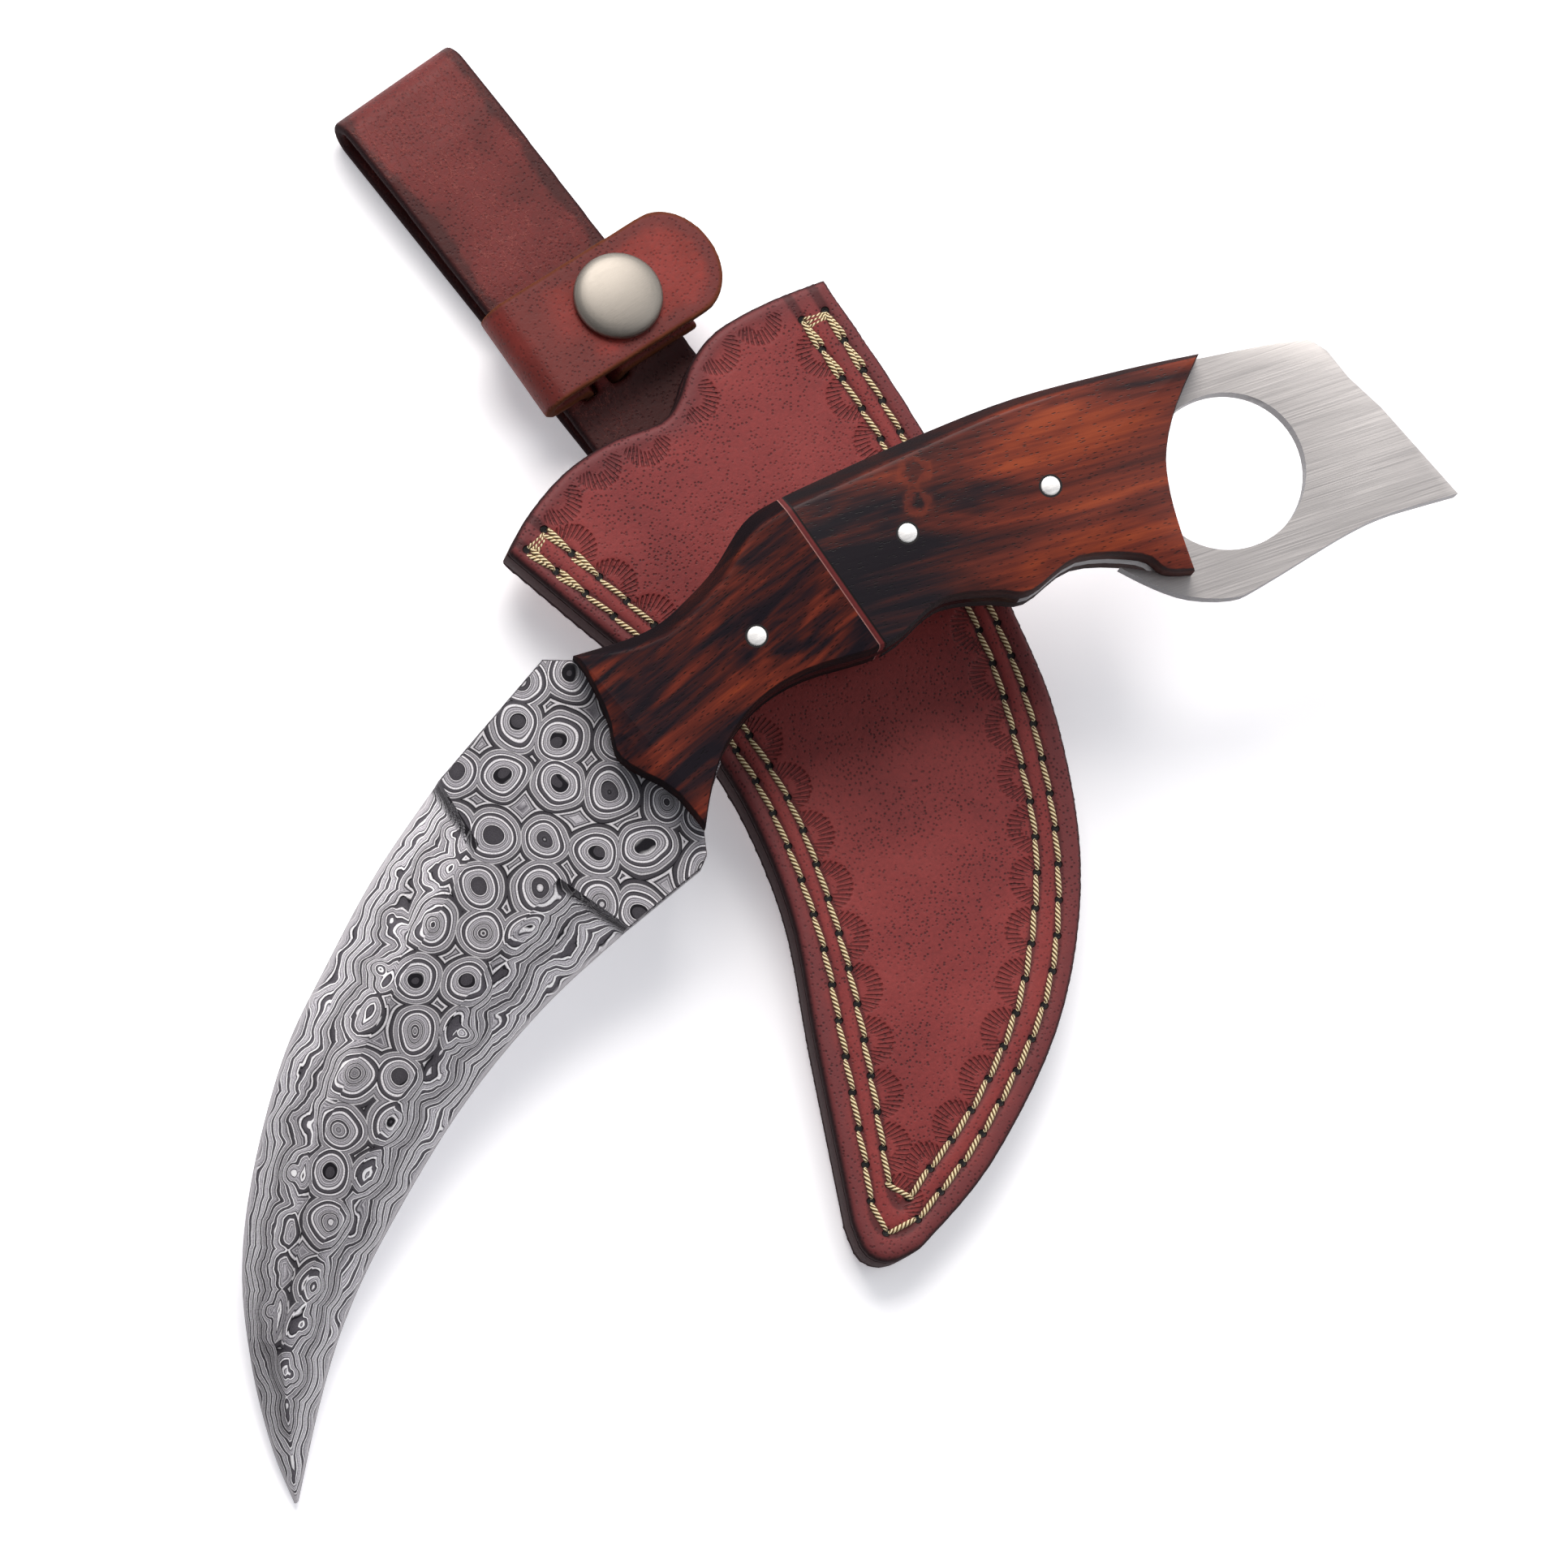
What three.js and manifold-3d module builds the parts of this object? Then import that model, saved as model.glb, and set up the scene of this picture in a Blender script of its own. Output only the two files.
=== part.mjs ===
// A ring-handled knife with a curved, double-edged blade, lying across its leather belt sheath.
// Units are millimetres and +Z is up. The sheath runs along Y, with its belt loop towards +Y.
// Each mesh is one separate piece of the real object.

import * as THREE from 'three';
import { mergeVertices } from 'three/addons/utils/BufferGeometryUtils.js';
import Module from 'manifold-3d';

const wasm = await Module();
wasm.setup();

// ---------------------------------------------------------------- driving dimensions

const clearance = 0.3;             // left between pieces that touch

// Knife, drawn in its own frame: X runs along the grip from the middle pin to the rear pin.
const tangThickness = 4.4;
const edgeThickness = 0.4;
const scaleThickness = 6.8;        // one wooden grip scale
const spacerWidth = 1.2;
const pinRadius = 1.65;
const pinPlaces = [[-28.5, -8.2], [0, 0], [24.5, 0]];
const pinNames = ['front', 'middle', 'rear'];
const ringHoleRadius = 13;
const ringHoleCentre = [53.8, -5.9];
const weldLine = -40;              // blade steel ends here, under the front scales

// Where the knife lies: its point on the floor, its grip on the sheath's left edge.
const middlePinPlace = new THREE.Vector3(20.45, -44.5, 31.5);
const knifeHeading = THREE.MathUtils.degToRad(-19.6);
const knifeRiseX = 0.1604;         // how fast the knife's middle plane rises along X and Y
const knifeRiseY = 0.0525;

// Sheath: two leather panels with a welt strip between them.
const panelThickness = 2.5;
const weltThickness = 4;
const pocketHeight = weltThickness + 2 * clearance;
const sheathThickness = 2 * panelThickness + pocketHeight;
const throatHeight = 6.8;          // underside of the back panel at the throat
const sheathSlope = Math.atan(0.05);

// Stitching: lockstitch rows in grooves, one thread on each face.
const threadRadius = 0.4;
const grooveWidth = 1.6;
const grooveDepth = 1.15;
const rowSteps = 92;
const inGroove = threadRadius + 0.05;   // from a face to the middle of its thread

// Belt loop: one strip folded double.
const loopLeft = -3.4;
const loopWidth = 24.4;
const loopLeather = 2.2;
const loopFoldRadius = 3.4;        // to the middle of the leather
const loopFoldCentre = 68.5;
const loopRestHeight = 6.2;        // middle of the front layer, under the snap strap

// Snap strap: threaded through two slits in the belt loop and folded over at its left edge.
const strapLeather = 1.9;
const strapWidth = 19.5;
const strapCentre = new THREE.Vector3(8, 19, 0);
const strapTurn = THREE.MathUtils.degToRad(-3.5);
const strapBaseHeight = loopRestHeight + loopLeather / 2 + clearance + strapLeather / 2;
const strapUnderHeight = 3.75;     // middle of the stretch behind the belt loop's front layer
const strapFlapHeight = 15.6;
const strapFoldCentre = -2.9;
const strapFlapEnd = 32.2;
const slits = [[0.4, 4.1], [6.5, 10.2]];
const snapPlace = 13.2;
const snapShankRadius = 1.3;

// ---------------------------------------------------------------- materials

const leather = (color) => new THREE.MeshStandardMaterial({ color, roughness: 0.6, metalness: 0 });
const metal = (color, roughness) => new THREE.MeshStandardMaterial({ color, roughness, metalness: 1 });

const materials = {
  damascus: metal(0x8b8c8f, 0.4),
  satinSteel: metal(0xc2c0bc, 0.35),
  pinSteel: metal(0xe8e8e8, 0.15),
  nickel: metal(0xd2cdc3, 0.2),
  rosewood: new THREE.MeshStandardMaterial({ color: 0x5a2418, roughness: 0.35, metalness: 0 }),
  fibre: new THREE.MeshStandardMaterial({ color: 0x5c1a1c, roughness: 0.5, metalness: 0 }),
  sheathLeather: leather(0x713436),
  loopLeather: leather(0x5a2a29),
  strapLeather: leather(0x7a2c22),
  thread: new THREE.MeshStandardMaterial({ color: 0xcaa66b, roughness: 0.8, metalness: 0 }),
};

// ---------------------------------------------------------------- helpers

const point = ([x, y]) => new THREE.Vector2(x, y);

function smooth(points, divisions) {
  return new THREE.SplineCurve(points.map(point)).getPoints(divisions);
}

function arc(x, y, radius, startAngle, endAngle, divisions) {
  const points = [];
  for (let i = 0; i <= divisions; i += 1) {
    const angle = startAngle + (endAngle - startAngle) * i / divisions;
    points.push(new THREE.Vector2(x + radius * Math.cos(angle), y + radius * Math.sin(angle)));
  }
  return points;
}

// Joins curves end to end into one closed shape, keeping shared end points once.
function closedShape(...curves) {
  const points = [];
  for (const next of curves.flat()) {
    if (points.length === 0 || points.at(-1).distanceTo(next) > 0.01) points.push(next);
  }
  if (points[0].distanceTo(points.at(-1)) < 0.01) points.pop();
  return new THREE.Shape(points);
}

// The outline of a strip of even thickness whose middle follows an open line of points.
function stripShape(line, thickness) {
  const left = [];
  const right = [];
  line.forEach((here, i) => {
    const before = here.clone().sub(line[Math.max(i - 1, 0)]).normalize();
    const after = line[Math.min(i + 1, line.length - 1)].clone().sub(here).normalize();
    const along = before.clone().add(after).normalize();
    const reach = thickness / 2 / along.dot(i === 0 ? after : before);
    const side = new THREE.Vector2(-along.y, along.x).multiplyScalar(reach);
    left.push(here.clone().add(side));
    right.unshift(here.clone().sub(side));
  });
  return new THREE.Shape([...left, ...right]);
}

function plate(shape, depth, bottom = 0) {
  return new THREE.ExtrudeGeometry(shape, { depth, bevelEnabled: false }).translate(0, 0, bottom);
}

// Turns a plate drawn in the YZ plane to run along X from a start.
function alongX(shape, start, length) {
  const turn = new THREE.Matrix4().makeBasis(
    new THREE.Vector3(0, 1, 0), new THREE.Vector3(0, 0, 1), new THREE.Vector3(1, 0, 0));
  return plate(shape, length).applyMatrix4(turn).translate(start, 0, 0);
}

// Turns a plate drawn in the XZ plane to run along Y, centred on zero.
function alongY(shape, length) {
  return plate(shape, length).rotateX(Math.PI / 2).translate(0, length / 2, 0);
}

function cylinder(radius, bottom, top, x = 0, y = 0, sides = 24) {
  return new THREE.CylinderGeometry(radius, radius, top - bottom, sides)
    .rotateX(Math.PI / 2)
    .translate(x, y, (bottom + top) / 2);
}

function turned(profile, sides = 32) {
  return new THREE.LatheGeometry(profile.map(point), sides).rotateX(Math.PI / 2);
}

function box(left, right, front, back, bottom, top) {
  return new THREE.BoxGeometry(right - left, back - front, top - bottom)
    .translate((left + right) / 2, (front + back) / 2, (bottom + top) / 2);
}

// A closed solid through a row of matching sections. A section lists its top corners from one
// side to the other, then its bottom corners back again.
function loft(sections) {
  const corners = sections[0].length;
  const positions = sections.flat().flatMap((corner) => corner.toArray());
  const faces = [];
  for (let i = 0; i < sections.length - 1; i += 1) {
    for (let side = 0; side < corners; side += 1) {
      const a = corners * i + side;
      const b = corners * i + (side + 1) % corners;
      faces.push(a, a + corners, b, b, a + corners, b + corners);
    }
  }
  const last = corners * (sections.length - 1);
  for (let top = 0; top < corners / 2 - 1; top += 1) {
    const bottom = corners - 1 - top;
    faces.push(top, top + 1, bottom - 1, top, bottom - 1, bottom);
    faces.push(last + top, last + bottom - 1, last + top + 1, last + top, last + bottom, last + bottom - 1);
  }
  const geometry = new THREE.BufferGeometry();
  geometry.setAttribute('position', new THREE.Float32BufferAttribute(positions, 3));
  geometry.setIndex(faces);
  return geometry;
}

function toSolid(geometry) {
  const plain = geometry.clone();
  plain.deleteAttribute('normal');
  plain.deleteAttribute('uv');
  const merged = mergeVertices(plain, 1e-4);
  return new wasm.Manifold(new wasm.Mesh({
    numProp: 3,
    vertProperties: Float32Array.from(merged.attributes.position.array),
    triVerts: Uint32Array.from(merged.index.array),
  }));
}

function toGeometry(solid) {
  const mesh = solid.getMesh();
  const geometry = new THREE.BufferGeometry();
  geometry.setAttribute('position', new THREE.BufferAttribute(mesh.vertProperties, 3));
  geometry.setIndex(new THREE.BufferAttribute(mesh.triVerts, 1));
  geometry.computeVertexNormals();
  return geometry;
}

function cut(geometry, ...cutters) {
  return toGeometry(cutters.reduce((body, cutter) => body.subtract(toSolid(cutter)), toSolid(geometry)));
}

function common(geometry, other) {
  return toGeometry(toSolid(geometry).intersect(toSolid(other)));
}

function piece(name, geometry, material) {
  const mesh = new THREE.Mesh(geometry, material);
  mesh.name = name;
  return mesh;
}

// ---------------------------------------------------------------- knife outlines

const handleTop = smooth([
  [-57.4, -1.7], [-48.2, -1.9], [-42.5, -1.1], [-37, 1.3], [-31.4, 4.5], [-24.5, 10.1], [-18.6, 11.9],
  [-7.6, 13.3], [8.2, 14.9], [24, 15.7], [42.1, 14.6], [54.9, 13.2]], 44);
const ringTop = [[54.9, 13.2], [70.2, 11.4], [74, 10.3], [76, 7.8], [77.9, 2.5], [81.4, -4], [88.6, -21.3]];
const ringBottom = smooth([
  [88.6, -21.3], [82, -21], [75.5, -20.9], [68, -22], [53.2, -25.4], [48, -25.9], [41.4, -23.6],
  [36.5, -20], [31.9, -15.4]], 24);
const handleBottom = smooth([
  [42.5, -20.3], [38, -18.8], [35, -15.3], [25.2, -12.4], [16.2, -15.2], [11, -13.6], [4.9, -12.1],
  [0.2, -12.4], [-8.7, -16], [-22.3, -15.9], [-31.3, -18.1], [-38.5, -23.1], [-43, -29],
  [-46.1, -34.8]], 52);
const gripRearEnd = smooth([
  [54.9, 13.2], [48.3, 5.9], [44.5, -0.5], [43, -6.5], [42.5, -13], [42.5, -20.3]], 16);
const gripFrontEnd = smooth([
  [-46.1, -34.8], [-49.1, -27.4], [-54.1, -22], [-55.9, -18.6], [-55.3, -13], [-56.2, -5.2],
  [-57.4, -1.7]], 14);

// Blade: both edges are ground from a shoulder to the point, with a flat between the two grinds
// that narrows to a ridge.
const bladePoint = [-142, -115.8];
const flatEnd = [-136.4, -91.6];
const flatShare = 0.78;            // part of the ground length that has a flat
const ridgeWidth = 0.3;
const outerShoulder = [-84.1, -13.5];
const innerShoulder = [-62.4, -45.7];
const outerFlatStart = [-81.2, -25.3];
const innerFlatStart = [-70.7, -34.5];
const outerEdge = [
  outerShoulder, [-98.1, -24.2], [-110.4, -35.8], [-121.5, -47.5], [-132.1, -63.8], [-138.7, -78.3],
  [-141.9, -92.9], [-142.9, -106], [-142.3, -115.7]];
const innerEdge = [
  innerShoulder, [-79.9, -53.6], [-97.7, -64.9], [-115.3, -80], [-125.7, -91], [-133.5, -102],
  [-141.6, -115.6]];
const outerFlat = [outerFlatStart, [-98.9, -41.3], [-117, -59], [-126.8, -74], flatEnd];
const innerFlat = [innerFlatStart, [-87.8, -45.6], [-110.4, -63.6], [-128.8, -82], flatEnd];

const gripShape = closedShape(gripFrontEnd, handleTop, gripRearEnd, handleBottom);

// ---------------------------------------------------------------- knife pieces

function groundBlade() {
  const stations = 32;
  const curves = [outerEdge, outerFlat, innerFlat, innerEdge]
    .map((line) => new THREE.SplineCurve(line.map(point)));
  const sections = [];
  for (let i = 0; i <= stations; i += 1) {
    const t = i / stations;
    const beyond = Math.max(0, (t - flatShare) / (1 - flatShare));
    const ridge = point(flatEnd).lerp(point(bladePoint), beyond);
    const [outer, inner] = [curves[0].getPointAt(t), curves[3].getPointAt(t)];
    const across = inner.clone().sub(outer).normalize().multiplyScalar(ridgeWidth / 2);
    const onFlat = (curve, sign) => (beyond === 0 ? curve.getPointAt(t / flatShare) : ridge.clone())
      .addScaledVector(across, sign * t / flatShare);
    const half = THREE.MathUtils.lerp(tangThickness, edgeThickness, beyond) / 2;
    const row = [outer, onFlat(curves[1], -1), onFlat(curves[2], 1), inner];
    const heights = [edgeThickness / 2, half, half, edgeThickness / 2];
    const top = row.map((corner, k) => new THREE.Vector3(corner.x, corner.y, heights[k]));
    const bottom = row.map((corner, k) => new THREE.Vector3(corner.x, corner.y, -heights[k])).reverse();
    sections.push([...top, ...bottom]);
  }
  const overlap = new THREE.Vector3(0.7, 0.7, 0);
  sections.unshift(sections[0].map((corner) => corner.clone().add(overlap)));
  return loft(sections);
}

function blade() {
  const outline = new THREE.Shape([
    outerFlatStart, outerShoulder, [-62, -0.1], [-57.4, -1.7], [-48.2, -1.9], [-42.5, -1.1],
    [weldLine, -0.2], [weldLine, -25.2], [-43, -29], [-46.1, -34.8], [-46.9, -38.6], [-48.5, -40.4], innerShoulder,
    innerFlatStart].map(point));
  const ricasso = plate(outline, tangThickness, -tangThickness / 2);
  return toGeometry(toSolid(ricasso).add(toSolid(groundBlade())));
}

function pinHoles(bottom, top) {
  return pinPlaces.map(([x, y]) => cylinder(pinRadius + clearance, bottom, top, x, y));
}

// The tang runs from the weld to the finger ring, and follows the grip's outline.
function tangWithRing() {
  const outline = closedShape(
    handleTop, ringTop.map(point), ringBottom, handleBottom, [...gripFrontEnd]);
  const whole = plate(outline, tangThickness, -tangThickness / 2);
  const [x, y] = ringHoleCentre;
  const fingerHole = cylinder(ringHoleRadius, -tangThickness, tangThickness, x, y, 64);
  const beyondGrip = cut(fingerHole, plate(gripShape, 4 * tangThickness, -2 * tangThickness));
  const front = box(-70, weldLine + clearance, -50, 10, -tangThickness, tangThickness);
  return cut(whole, beyondGrip, front, ...pinHoles(-tangThickness, tangThickness));
}

// Everything in front of a line across the grip, or behind it, at the spacer.
function gripPart(bottom, from, to) {
  const [topEnd, bottomEnd] = [new THREE.Vector2(-17.3, 11.2), new THREE.Vector2(-9.5, -16.2)];
  const tilt = Math.atan2(topEnd.x - bottomEnd.x, topEnd.y - bottomEnd.y);
  const middle = topEnd.lerp(bottomEnd, 0.5);
  const region = box(from, to, -70, 70, bottom - 1, bottom + scaleThickness + 1)
    .rotateZ(-tilt)
    .translate(middle.x, middle.y, 0);
  const part = common(plate(gripShape, scaleThickness, bottom), region);
  return cut(part, ...pinHoles(bottom - 1, bottom + scaleThickness + 1));
}

function knife() {
  const group = new THREE.Group();
  group.add(piece('damascus_blade', blade(), materials.damascus));
  group.add(piece('tang_with_ring', tangWithRing(), materials.satinSteel));
  const nearSpacer = spacerWidth / 2 + clearance;
  const scaleFace = tangThickness / 2 + clearance;
  for (const [side, bottom] of [['upper', scaleFace], ['lower', -scaleFace - scaleThickness]]) {
    group.add(piece(`front_scale_${side}`, gripPart(bottom, -120, -nearSpacer), materials.rosewood));
    group.add(piece(`spacer_${side}`, gripPart(bottom, -spacerWidth / 2, spacerWidth / 2), materials.fibre));
    group.add(piece(`rear_scale_${side}`, gripPart(bottom, nearSpacer, 120), materials.rosewood));
  }
  const pinReach = scaleFace + scaleThickness;
  pinPlaces.forEach(([x, y], i) => {
    const pin = cylinder(pinRadius, -pinReach, pinReach, x, y);
    group.add(piece(`pin_${pinNames[i]}`, pin, materials.pinSteel));
  });
  const along = new THREE.Vector3(Math.cos(knifeHeading), Math.sin(knifeHeading), 0);
  along.z = knifeRiseX * along.x + knifeRiseY * along.y;
  const upward = new THREE.Vector3(-knifeRiseX, -knifeRiseY, 1).normalize();
  const across = new THREE.Vector3().crossVectors(upward, along.normalize());
  group.applyMatrix4(new THREE.Matrix4().makeBasis(along, across, upward).setPosition(middlePinPlace));
  return group;
}

// ---------------------------------------------------------------- sheath outlines

const throat = smooth([
  [-28.5, -4.5], [-22, -1.5], [-12.5, 0.7], [-3, 0.4], [6, -1.9], [11, -0.3], [16, 3], [23, 5], [33, 4],
  [43.5, 1.4]], 32);
const sheathRight = smooth([
  [43.5, 1.4], [40.9, -29.6], [33.9, -62.9], [27.8, -82.3], [15.3, -103.5], [-3.2, -120.5],
  [-26.6, -131.7], [-45, -135.6]], 36);
const sheathTip = smooth([[-45, -135.6], [-50.5, -134.4], [-52.9, -130.8], [-51.6, -125.5]], 8);
const sheathLeft = smooth([
  [-51.6, -125.5], [-38.1, -99], [-28.4, -80.5], [-23.2, -63], [-21.6, -48], [-22, -34], [-25, -20],
  [-28.5, -4.5]], 30);
const sheathShape = closedShape(throat, sheathRight, sheathTip, sheathLeft);

// The pocket for the blade is open at the throat and follows the inner row of stitching.
const pocketShape = new THREE.Shape([
  ...smooth([[-17.8, 9], [-13, -25], [-12.8, -50], [-15.5, -69], [-23.2, -90], [-40.5, -121.5]], 24),
  ...smooth([
    [-40.5, -121.5], [-20.5, -118.5], [-4.5, -109.8], [9, -95], [18, -78], [24.6, -60], [31.6, -28],
    [34, 9]], 24).slice(1)]);

// Each row of stitching runs from the throat down the left side, round the tip and up the right.
const rowOuter = [
  [-25.8, -6], [-21.7, -20.7], [-18.6, -36], [-18.4, -50], [-20.3, -65.4], [-26.3, -84.9], [-35.1, -102.6],
  [-44.4, -120], [-48.6, -128], [-46.6, -131.4], [-40.7, -131.2], [-23.2, -126.3], [-2.2, -115.7],
  [13.4, -99.3], [24, -80.1], [30.3, -62], [37.2, -29], [40.2, -3]];
const rowInner = [
  [-21.4, -5], [-18.1, -20.9], [-15.4, -36], [-15.3, -52], [-17.7, -69.2], [-25.6, -91.4], [-35.6, -111.1],
  [-43.9, -126.8], [-38.1, -126.9], [-21.4, -121.8], [-4.9, -112.5], [10.8, -96.8], [20.4, -79.1],
  [27.1, -60.9], [33.7, -28.2], [36, -2]];

// ---------------------------------------------------------------- sheath pieces

function groove(row, bottom, steps = rowSteps) {
  return plate(stripShape(smooth(row, steps), grooveWidth), grooveDepth, bottom);
}

// A thread lies in its groove and stops just short of its ends.
function thread(row, height, steps = rowSteps) {
  const line = smooth(row, 100).slice(1, -1).map(({ x, y }) => new THREE.Vector3(x, y, height));
  const section = new THREE.Shape(arc(0, 0, threadRadius, 0, Math.PI * 5 / 3, 5));
  return new THREE.ExtrudeGeometry(section, {
    steps, bevelEnabled: false, extrudePath: new THREE.CatmullRomCurve3(line) });
}

function sheathBody() {
  const group = new THREE.Group();
  const frontBottom = panelThickness + pocketHeight;
  const back = plate(sheathShape, panelThickness);
  const front = plate(sheathShape, panelThickness, frontBottom);
  const weltBottom = panelThickness + clearance;
  const pocket = plate(pocketShape, pocketHeight, panelThickness);
  const frontGroove = sheathThickness - grooveDepth;
  group.add(piece('sheath_back_panel', cut(back, groove(rowOuter, -0.01), groove(rowInner, -0.01)),
    materials.sheathLeather));
  group.add(piece('sheath_front_panel', cut(front, groove(rowOuter, frontGroove + 0.01),
    groove(rowInner, frontGroove + 0.01)), materials.sheathLeather));
  group.add(piece('sheath_welt', cut(plate(sheathShape, weltThickness, weltBottom), pocket),
    materials.sheathLeather));
  for (const [name, row] of [['outer', rowOuter], ['inner', rowInner]]) {
    group.add(piece(`needle_thread_${name}`, thread(row, sheathThickness - inGroove), materials.thread));
    group.add(piece(`bobbin_thread_${name}`, thread(row, inGroove), materials.thread));
  }
  group.position.z = throatHeight;
  group.rotation.x = sheathSlope;
  return group;
}

// ---------------------------------------------------------------- belt loop and snap strap

// The belt loop is sewn to the back panel with one U of stitches.
const loopRow = [[1, -3], [1, -22], [3.5, -26], [13.8, -26], [16.6, -22], [16.6, -3]];
const loopRowSteps = 24;

const inStrapFrame = (geometry) => geometry.rotateZ(strapTurn).translate(...strapCentre.toArray());

function beltLoop() {
  const layer = loopLeather / 2;
  const foldHeight = layer + loopFoldRadius;
  const line = [
    ...[[-30, layer], [20, layer]].map(point),
    ...arc(loopFoldCentre, foldHeight, loopFoldRadius, -Math.PI / 2, Math.PI / 2, 14),
    ...[[58, foldHeight + loopFoldRadius], [31, loopRestHeight], [9, loopRestHeight], [5, 5.6],
      [-30, 3.9]].map(point)];
  const strip = alongX(stripShape(line, loopLeather), loopLeft, loopWidth);
  const slitLength = strapWidth + 2 * clearance;
  const frontLayer = [loopRestHeight - loopLeather, loopRestHeight + loopLeather];
  const cutters = slits.map(([left, right]) => inStrapFrame(box(
    left - strapCentre.x, right - strapCentre.x, -slitLength / 2, slitLength / 2, ...frontLayer)));
  return cut(strip, groove(loopRow, -0.01, loopRowSteps), ...cutters);
}

// The strap's base lies on the belt loop, and dips behind the bridge between the two slits.
function strapBase() {
  const line = [
    [-3.3, strapBaseHeight], [1.4, strapBaseHeight], [3.2, strapUnderHeight], [7.4, strapUnderHeight],
    [9.2, strapBaseHeight], [24, strapBaseHeight]];
  const centred = line.map(([x, z]) => point([x - strapCentre.x, z]));
  const strip = alongY(stripShape(centred, strapLeather), strapWidth);
  const place = snapPlace - strapCentre.x;
  const under = strapBaseHeight - strapLeather / 2;
  const shankHole = cylinder(snapShankRadius + clearance, under - 1, under + strapLeather + 1, place, 0);
  const flangeRecess = cylinder(2.8 + clearance, under - 1, under + 0.9, place, 0);
  return inStrapFrame(cut(strip, shankHole, flangeRecess));
}

// The flap starts at the fold beside the belt loop and closes over the snap, with a rounded end.
function strapFlap() {
  const foldHeight = (strapBaseHeight + strapFlapHeight) / 2;
  const foldRadius = (strapFlapHeight - strapBaseHeight) / 2;
  const foldStart = THREE.MathUtils.degToRad(-106.5);
  const line = [
    ...arc(strapFoldCentre - strapCentre.x, foldHeight, foldRadius, foldStart, -1.5 * Math.PI, 16),
    point([strapFlapEnd - strapCentre.x, strapFlapHeight])];
  const strip = alongY(stripShape(line, strapLeather), strapWidth);
  const endLength = 7.7;
  const endStart = strapFlapEnd - endLength - strapCentre.x;
  const plan = new THREE.Shape();
  plan.moveTo(-30, -strapWidth / 2 - 1);
  plan.lineTo(endStart, -strapWidth / 2 - 1);
  plan.absellipse(endStart, 0, endLength, strapWidth / 2, -Math.PI / 2, Math.PI / 2, false);
  plan.lineTo(-30, strapWidth / 2 + 1);
  const rounded = common(strip, plate(plan, 40));
  const shankHole = cylinder(snapShankRadius + clearance, strapFlapHeight - 2, strapFlapHeight + 2,
    snapPlace - strapCentre.x, 0);
  return inStrapFrame(cut(rounded, shankHole));
}

// The snap's four pressed parts, turned about one axis. Heights are measured from the floor.
function snapParts() {
  const baseTop = strapBaseHeight + strapLeather / 2;
  const baseUnder = strapBaseHeight - strapLeather / 2;
  const flapTop = strapFlapHeight + strapLeather / 2;
  const flapUnder = strapFlapHeight - strapLeather / 2;
  const shank = snapShankRadius;
  const bore = snapShankRadius + clearance;
  const stud = turned([
    [bore, baseTop + 0.3], [3, baseTop + 0.3], [3, baseTop + 0.9], [2.1, baseTop + 1.1],
    [2.1, baseTop + 2.1], [2.6, baseTop + 2.6], [2.6, baseTop + 3.1], [2, baseTop + 3.4],
    [0, baseTop + 3.4], [0, baseTop + 2.8], [bore, baseTop + 2.8], [bore, baseTop + 0.3]]);
  const eyelet = turned([
    [0, baseUnder + 0.1], [2.8, baseUnder + 0.1], [2.8, baseUnder + 0.6], [shank, baseUnder + 0.6],
    [shank, baseTop + 2.5], [0, baseTop + 2.5]]);
  const socketBottom = flapUnder - 3.65;
  const socket = turned([
    [3.5, socketBottom], [4.7, socketBottom], [5.2, socketBottom + 0.5], [5.2, flapUnder - clearance],
    [bore, flapUnder - clearance], [bore, flapUnder - 0.95], [3.5, flapUnder - 0.95], [3.5, socketBottom]]);
  const rim = flapTop + clearance;
  const cap = turned([
    [0, flapUnder - 1.1], [shank, flapUnder - 1.1], [shank, rim], [7.2, rim], [7.5, rim + 0.3],
    [7.5, rim + 1], [7.1, rim + 1.5], [6, rim + 1.9], [3.5, rim + 2.3], [0, rim + 2.4]], 40);
  return Object.entries({ stud, eyelet, socket, cap }).map(([name, geometry]) => piece(
    `snap_${name}`, inStrapFrame(geometry.translate(snapPlace - strapCentre.x, 0, 0)), materials.nickel));
}

// ---------------------------------------------------------------- assembly

const assembly = new THREE.Group();
assembly.add(
  knife(), sheathBody(), piece('belt_loop', beltLoop(), materials.loopLeather),
  piece('belt_loop_thread', thread(loopRow, inGroove, loopRowSteps), materials.thread),
  piece('strap_base', strapBase(), materials.strapLeather),
  piece('strap_flap', strapFlap(), materials.strapLeather), ...snapParts());

// The origin is under the middle of the whole part.
const extent = new THREE.Box3().setFromObject(assembly, true);
const centre = extent.getCenter(new THREE.Vector3());
assembly.position.set(-centre.x, -centre.y, -extent.min.z);

const part = new THREE.Group();
part.add(assembly);
export default part;
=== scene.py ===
"""A ring-handled knife with a forged blade, lying across its stitched leather belt sheath.

Run as a script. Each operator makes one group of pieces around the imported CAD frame. The knife,
the sheath and the snap strap are each drawn in millimetres in a frame of their own, and the
finished mesh is then put in its place in metres.
"""
import math
from functools import partial

import bpy
import numpy as np
from mathutils import Matrix, Vector, kdtree


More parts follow.
